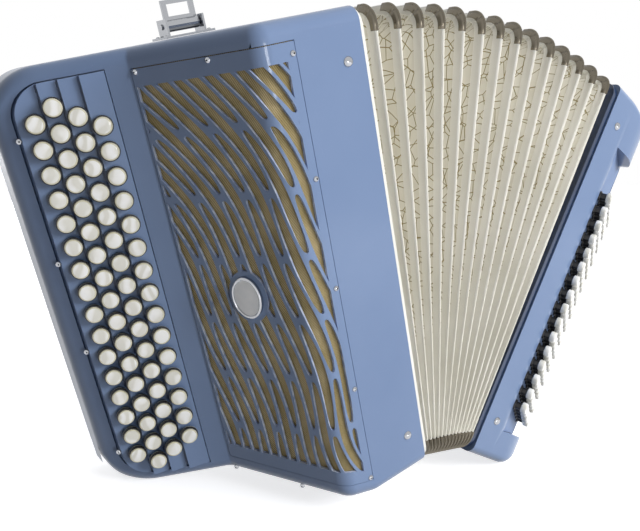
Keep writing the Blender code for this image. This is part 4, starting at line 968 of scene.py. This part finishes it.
for row in range(BASS_ROWS):
    middle = FIRST_ROW + row * ROW_SPACING
    carve(bass, prism(board_plan(middle - 0.0042, middle + 0.0042, -0.02, 0.05), 0.040, 0.290))
wheel_slot = [(0.0304, 0.1494), (0.0524, 0.1494), (0.0524, 0.1586), (0.0304, 0.1586)]
carve(bass, prism(wheel_slot, HEIGHT - 0.014, HEIGHT + 0.02))
shape = bmesh.new()
hole = [(0, -0.02, 0), (0.0086, -0.02, 0), (0.0086, 0.02, 0), (0, 0.02, 0)]
carve(bass, piece("air_hole", turned(shape, hole, facing(AIR_PLACE, (1, 0, 0)), 32)))
dress(bass, lacquer)
in_place(bass, BASS)
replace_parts(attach(bass, "bass"), "bass_casing")

# Bass button board: a thin plate at the foot of the recess, with a round hole for each stem.
# It is the same blue, left satin so that it stays even at a slant.
# Satin lacquer: the casing's blue without the polish, with clouds about 33 mm wide
satin, shader = paint("satin_blue")
place = node(satin, "TexCoord")
cloud = node(satin, "TexNoise", Vector=(place, "Object"), Scale=30.0, Detail=3.0)
blue = node(satin, "ValToRGB", Fac=(cloud, "Fac"), stops=((0.3, "#6E84AB"), (0.7, "#778DB2")))
wire(satin, blue, "Color", shader, "Base Color")
tune(shader, Roughness=0.55)
shape = bmesh.new()
for row in range(BASS_ROWS):
    for point in bass_places(row):
        hole = [(0, -0.01, 0), (0.0040, -0.01, 0), (0.0040, 0.01, 0), (0, 0.01, 0)]
        turned(shape, hole, facing(point, BOARD_OUT.to_3d()), 14)
plate = prism(board_plan(0.006, 0.064, 0.0003, 0.0033), BOARD_FOOT + 0.0003, BOARD_TOP - 0.0003)
carve(plate, piece("holes", shape))
plate.name = "bass_plate"
dress(plate, satin)
in_place(plate, BASS)
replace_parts(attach(plate, "bass"), "bass_button_board")

# Bass buttons: five rows of thick pearl caps on black stems.
# Each stem slides in a black bush that is pressed into the board.
BASS_BUTTON = [(0, 0.0125, 0), (0.0032, 0.0125, 0), (0.0046, 0.0122, 0), (0.0052, 0.0115, 0)]
BASS_BUTTON += [(0.0054, 0.0106, 0), (0.0054, 0.0082, 0), (0.0052, 0.0074, 0), (0.0046, 0.0069, 0)]
BASS_BUTTON += [(0.0036, 0.0068, 1), (0.0035, 0.0066, 1), (0.0034, 0.0058, 1)]
BASS_BUTTON += [(0.0034, -0.0060, 1), (0, -0.0060, 1)]
BUSH = [(0.0039, 0.0001, 0), (0.0039, 0.0016, 0), (0.0045, 0.0016, 0), (0.0049, 0.0011, 0)]
BUSH += [(0.0050, 0.0001, 0), (0.0039, 0.0001, 0)]
shape = bmesh.new()
for row in range(BASS_ROWS):
    for point in bass_places(row):
        turned(shape, BUSH, BASS @ facing(point, BOARD_OUT.to_3d()), 20)
bmesh.ops.remove_doubles(shape, verts=shape.verts, dist=1e-6)
bushes = piece("bass_bushes", shape, black)
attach(bushes, "bass")
for row in range(BASS_ROWS):
    shape = bmesh.new()
    for point in bass_places(row):
        turned(shape, BASS_BUTTON, BASS @ facing(point, BOARD_OUT.to_3d()), 20)
    buttons = piece(f"bass_buttons_{row + 1}", shape, pearl, black)
    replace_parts(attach(buttons, f"bass_row_{row + 1}"), f"bass_button_row_{row + 1}")

# Hand strap: a padded leather band over the outer face of the bass casing.
# It is stitched along both edges with grey thread and held by an anchor plate at each end.
# Black leather: pores 1.6 mm apart, drawn coarser than real ones so that they show, and a soft shine
leather, shader = paint("black_leather")
place = node(leather, "TexCoord")
pores = node(leather, "TexVoronoi", {"feature": "DISTANCE_TO_EDGE"}, Vector=(place, "Object"), Scale=620.0)
tone = node(leather, "TexNoise", Vector=(place, "Object"), Scale=35.0, Detail=4.0)
hide = node(leather, "ValToRGB", Fac=(tone, "Fac"), stops=((0.3, "#121214"), (0.7, "#26262A")))
wire(leather, hide, "Color", shader, "Base Color")
creases = node(leather, "Bump", Strength=0.5, Distance=0.0004, Height=(pores, "Distance"))
wire(leather, creases, "Normal", shader, "Normal")
tune(shader, Roughness=0.48)
# Grey thread, twisted: light and dark turns 0.4 mm apart
thread, shader = paint("grey_thread")
place = node(thread, "TexCoord")
twist = node(thread, "TexWave", {"bands_direction": "DIAGONAL"}, Vector=(place, "Object"), Scale=900.0)
yarn = node(thread, "ValToRGB", Fac=(twist, "Fac"), stops=((0.2, "#6E6E72"), (0.8, "#A9A9AD")))
wire(thread, yarn, "Color", shader, "Base Color")
tune(shader, Roughness=0.7)
shape = bmesh.new()
STRAP_LOW, STRAP_HIGH, STRAP_Y = 0.064, 0.300, DEPTH - 0.050
STRAP_HALF, STRAP_THICK_HALF, STRAP_ARCH, STRAP_FOOT = 0.031, 0.0029, 0.030, 0.0056 + 0.003
STITCHES, SEAM = 44, 0.0265


def strap(share):
    """A point on the middle of the arched band, at a share of its length."""
    rise = STRAP_ARCH * max(math.sin(math.pi * share), 0) ** 0.7
    return Vector((WIDTH + STRAP_FOOT + rise, 0, STRAP_LOW + (STRAP_HIGH - STRAP_LOW) * share))


rings = []
for step in range(49):
    share = step / 48
    run = strap(min(share + 0.01, 1)) - strap(max(share - 0.01, 0))
    out = Vector((run.z, 0, -run.x)).normalized()
    ring = []
    for turn in range(32):
        angle = math.tau * turn / 32
        across, deep = math.cos(angle), math.sin(angle)
        across = math.copysign(abs(across) ** 0.45, across) * STRAP_HALF
        deep = math.copysign(abs(deep) ** 0.7, deep) * STRAP_THICK_HALF
        point = strap(share) + out * deep + Vector((0, STRAP_Y + across, 0))
        ring.append(shape.verts.new(BASS @ point))
    rings.append(ring)
for near, far in zip(rings, rings[1:]):
    for turn in range(32):
        after = (turn + 1) % 32
        shape.faces.new((near[turn], near[after], far[after], far[turn]))
shape.faces.new(rings[0])
shape.faces.new(rings[-1])
band = piece("strap_band", shape, leather, angle=50)
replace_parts(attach(band, "bass"), "hand_strap")
shape = bmesh.new()
for edge in (-SEAM, SEAM):
    for stitch in range(STITCHES):
        share = (stitch + 0.7) / (STITCHES + 1.4)
        run = (strap(share + 0.005) - strap(share - 0.005)).normalized()
        out = Vector((run.z, 0, -run.x))
        point = strap(share) + out * 0.0023 + Vector((0, STRAP_Y + edge, 0))
        bead = [(0, -0.0017, 0), (0.00035, -0.0014, 0), (0.0005, 0, 0), (0.00035, 0.0014, 0), (0, 0.0017, 0)]
        turned(shape, bead, BASS @ facing(point, run), 8)
stitches = piece("strap_stitches", shape, thread, angle=60)
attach(stitches, "bass")

# Metal fittings: anchor plates of the hand strap, and the shoulder strap bracket with its pin and loop.
# They are bent from chrome-plated steel and screwed down, so their edges are slightly soft.
for name in ("strap_anchor_foot", "strap_anchor_top", "strap_bracket", "strap_bracket_pin", "strap_loop"):
    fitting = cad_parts[name]
    dress(fitting, chrome)
    bevel = fitting.modifiers.new("edges", "BEVEL")
    bevel.width, bevel.segments, bevel.limit_method = 0.0005, 3, "ANGLE"
places = []
for z in (STRAP_LOW, STRAP_HIGH):
    for y in (-0.033, 0.033):
        places.append(((WIDTH + 0.0053, STRAP_Y + y, z), (1, 0, 0)))
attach(screws("anchor_screws", BASS, places, 0.0016), "bass")
places = []
for x in (-0.0175, 0.0175):
    for y in (-0.008, 0.008):
        places.append(((-0.087 + x, 0.100 + y, HEIGHT + 0.0019), (0, 0, 1)))
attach(screws("bracket_screws", TREBLE, places, 0.0015), "treble")

# Thumb wheel: a chromed wheel with a knurled rim and hollowed sides.
# It stands in a slot in the top of the bass casing and tightens the hand strap.
outline = []
for step in range(96):
    radius = 0.0099 if step % 2 else 0.0093
    outline.append((radius * math.cos(math.tau * step / 96), radius * math.sin(math.tau * step / 96)))
wheel = prism(outline, -0.004, 0.004, "y")
for side in (-1, 1):
    shape = bmesh.new()
    dish = [(0, -0.0015, 0), (0.0060, -0.0010, 0), (0.0070, 0.0005, 0), (0, 0.0005, 0)]
    carve(wheel, piece("dish", turned(shape, dish, facing((0, side * 0.004, 0), (0, side, 0)), 32)))
wheel.name = "strap_wheel"
dress(wheel, chrome)
in_place(wheel, BASS @ Matrix.Translation((WIDTH * 0.45, DEPTH - 0.036, HEIGHT)))
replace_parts(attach(wheel, "thumb_wheel"), "strap_thumb_wheel")

# Air button: a pearl cap with a dished top on a black stem.
# It lets air out of the bellows without a sound, beside the hand strap.
shape = bmesh.new()
cap = [(0, 0.0082, 0), (0.0035, 0.0084, 0), (0.0060, 0.0090, 0), (0.0073, 0.0087, 0), (0.0080, 0.0076, 0)]
cap += [(0.0080, 0.0012, 1), (0.0076, 0.0008, 1), (0.0076, -0.0115, 1), (0, -0.0115, 1)]
turned(shape, cap, BASS @ facing(AIR_PLACE, (1, 0, 0)), 36)
air = piece("air_cap", shape, pearl, black)
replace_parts(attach(air, "air_valve"), "air_button")

# Bellows pins: nails with domed chrome heads.
# They go through both casings into the bellows frames.
PIN_FROM_END = 0.0365
dome = [(0, 0.0022, 0), (0.0013, 0.00205, 0), (0.0025, 0.0016, 0)]
dome += [(0.0034, 0.0008, 0), (0.0038, 0, 0), (0, 0, 0)]
for body, matrix, x in (("treble", TREBLE, -0.0155), ("bass", BASS, 0.0165)):
    for end, z in (("foot", PIN_FROM_END), ("top", HEIGHT - PIN_FROM_END)):
        shape = bmesh.new()
        turned(shape, dome, matrix @ facing((x, -0.0003, z), (0, -1, 0)), 32)
        pin = piece(f"{body}_pin_{end}", shape, chrome)
        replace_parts(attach(pin, body), f"{body}_bellows_pin_{end}")

# Sound boards and reed blocks: plain spruce inside the casings, as the solids give them.
# Only their finish is added here.
# Spruce, planed: straight grain in light and dark lines 3.5 mm apart
spruce, shader = paint("spruce")
place = node(spruce, "TexCoord")
GRAIN, LINES = {"bands_direction": "Y"}, ((0.1, "#A8814F"), (0.5, "#CBA673"), (0.9, "#D8B988"))
rings = node(spruce, "TexWave", GRAIN, Vector=(place, "Object"), Scale=90.0, Distortion=3.0, Detail=3.0)
grain = node(spruce, "ValToRGB", Fac=(rings, "Fac"), stops=LINES)
wire(spruce, grain, "Color", shader, "Base Color")
tune(shader, Roughness=0.55)
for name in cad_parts:
    if "soundboard" in name or "reed_block" in name:
        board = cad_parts[name]
        dress(board, spruce)
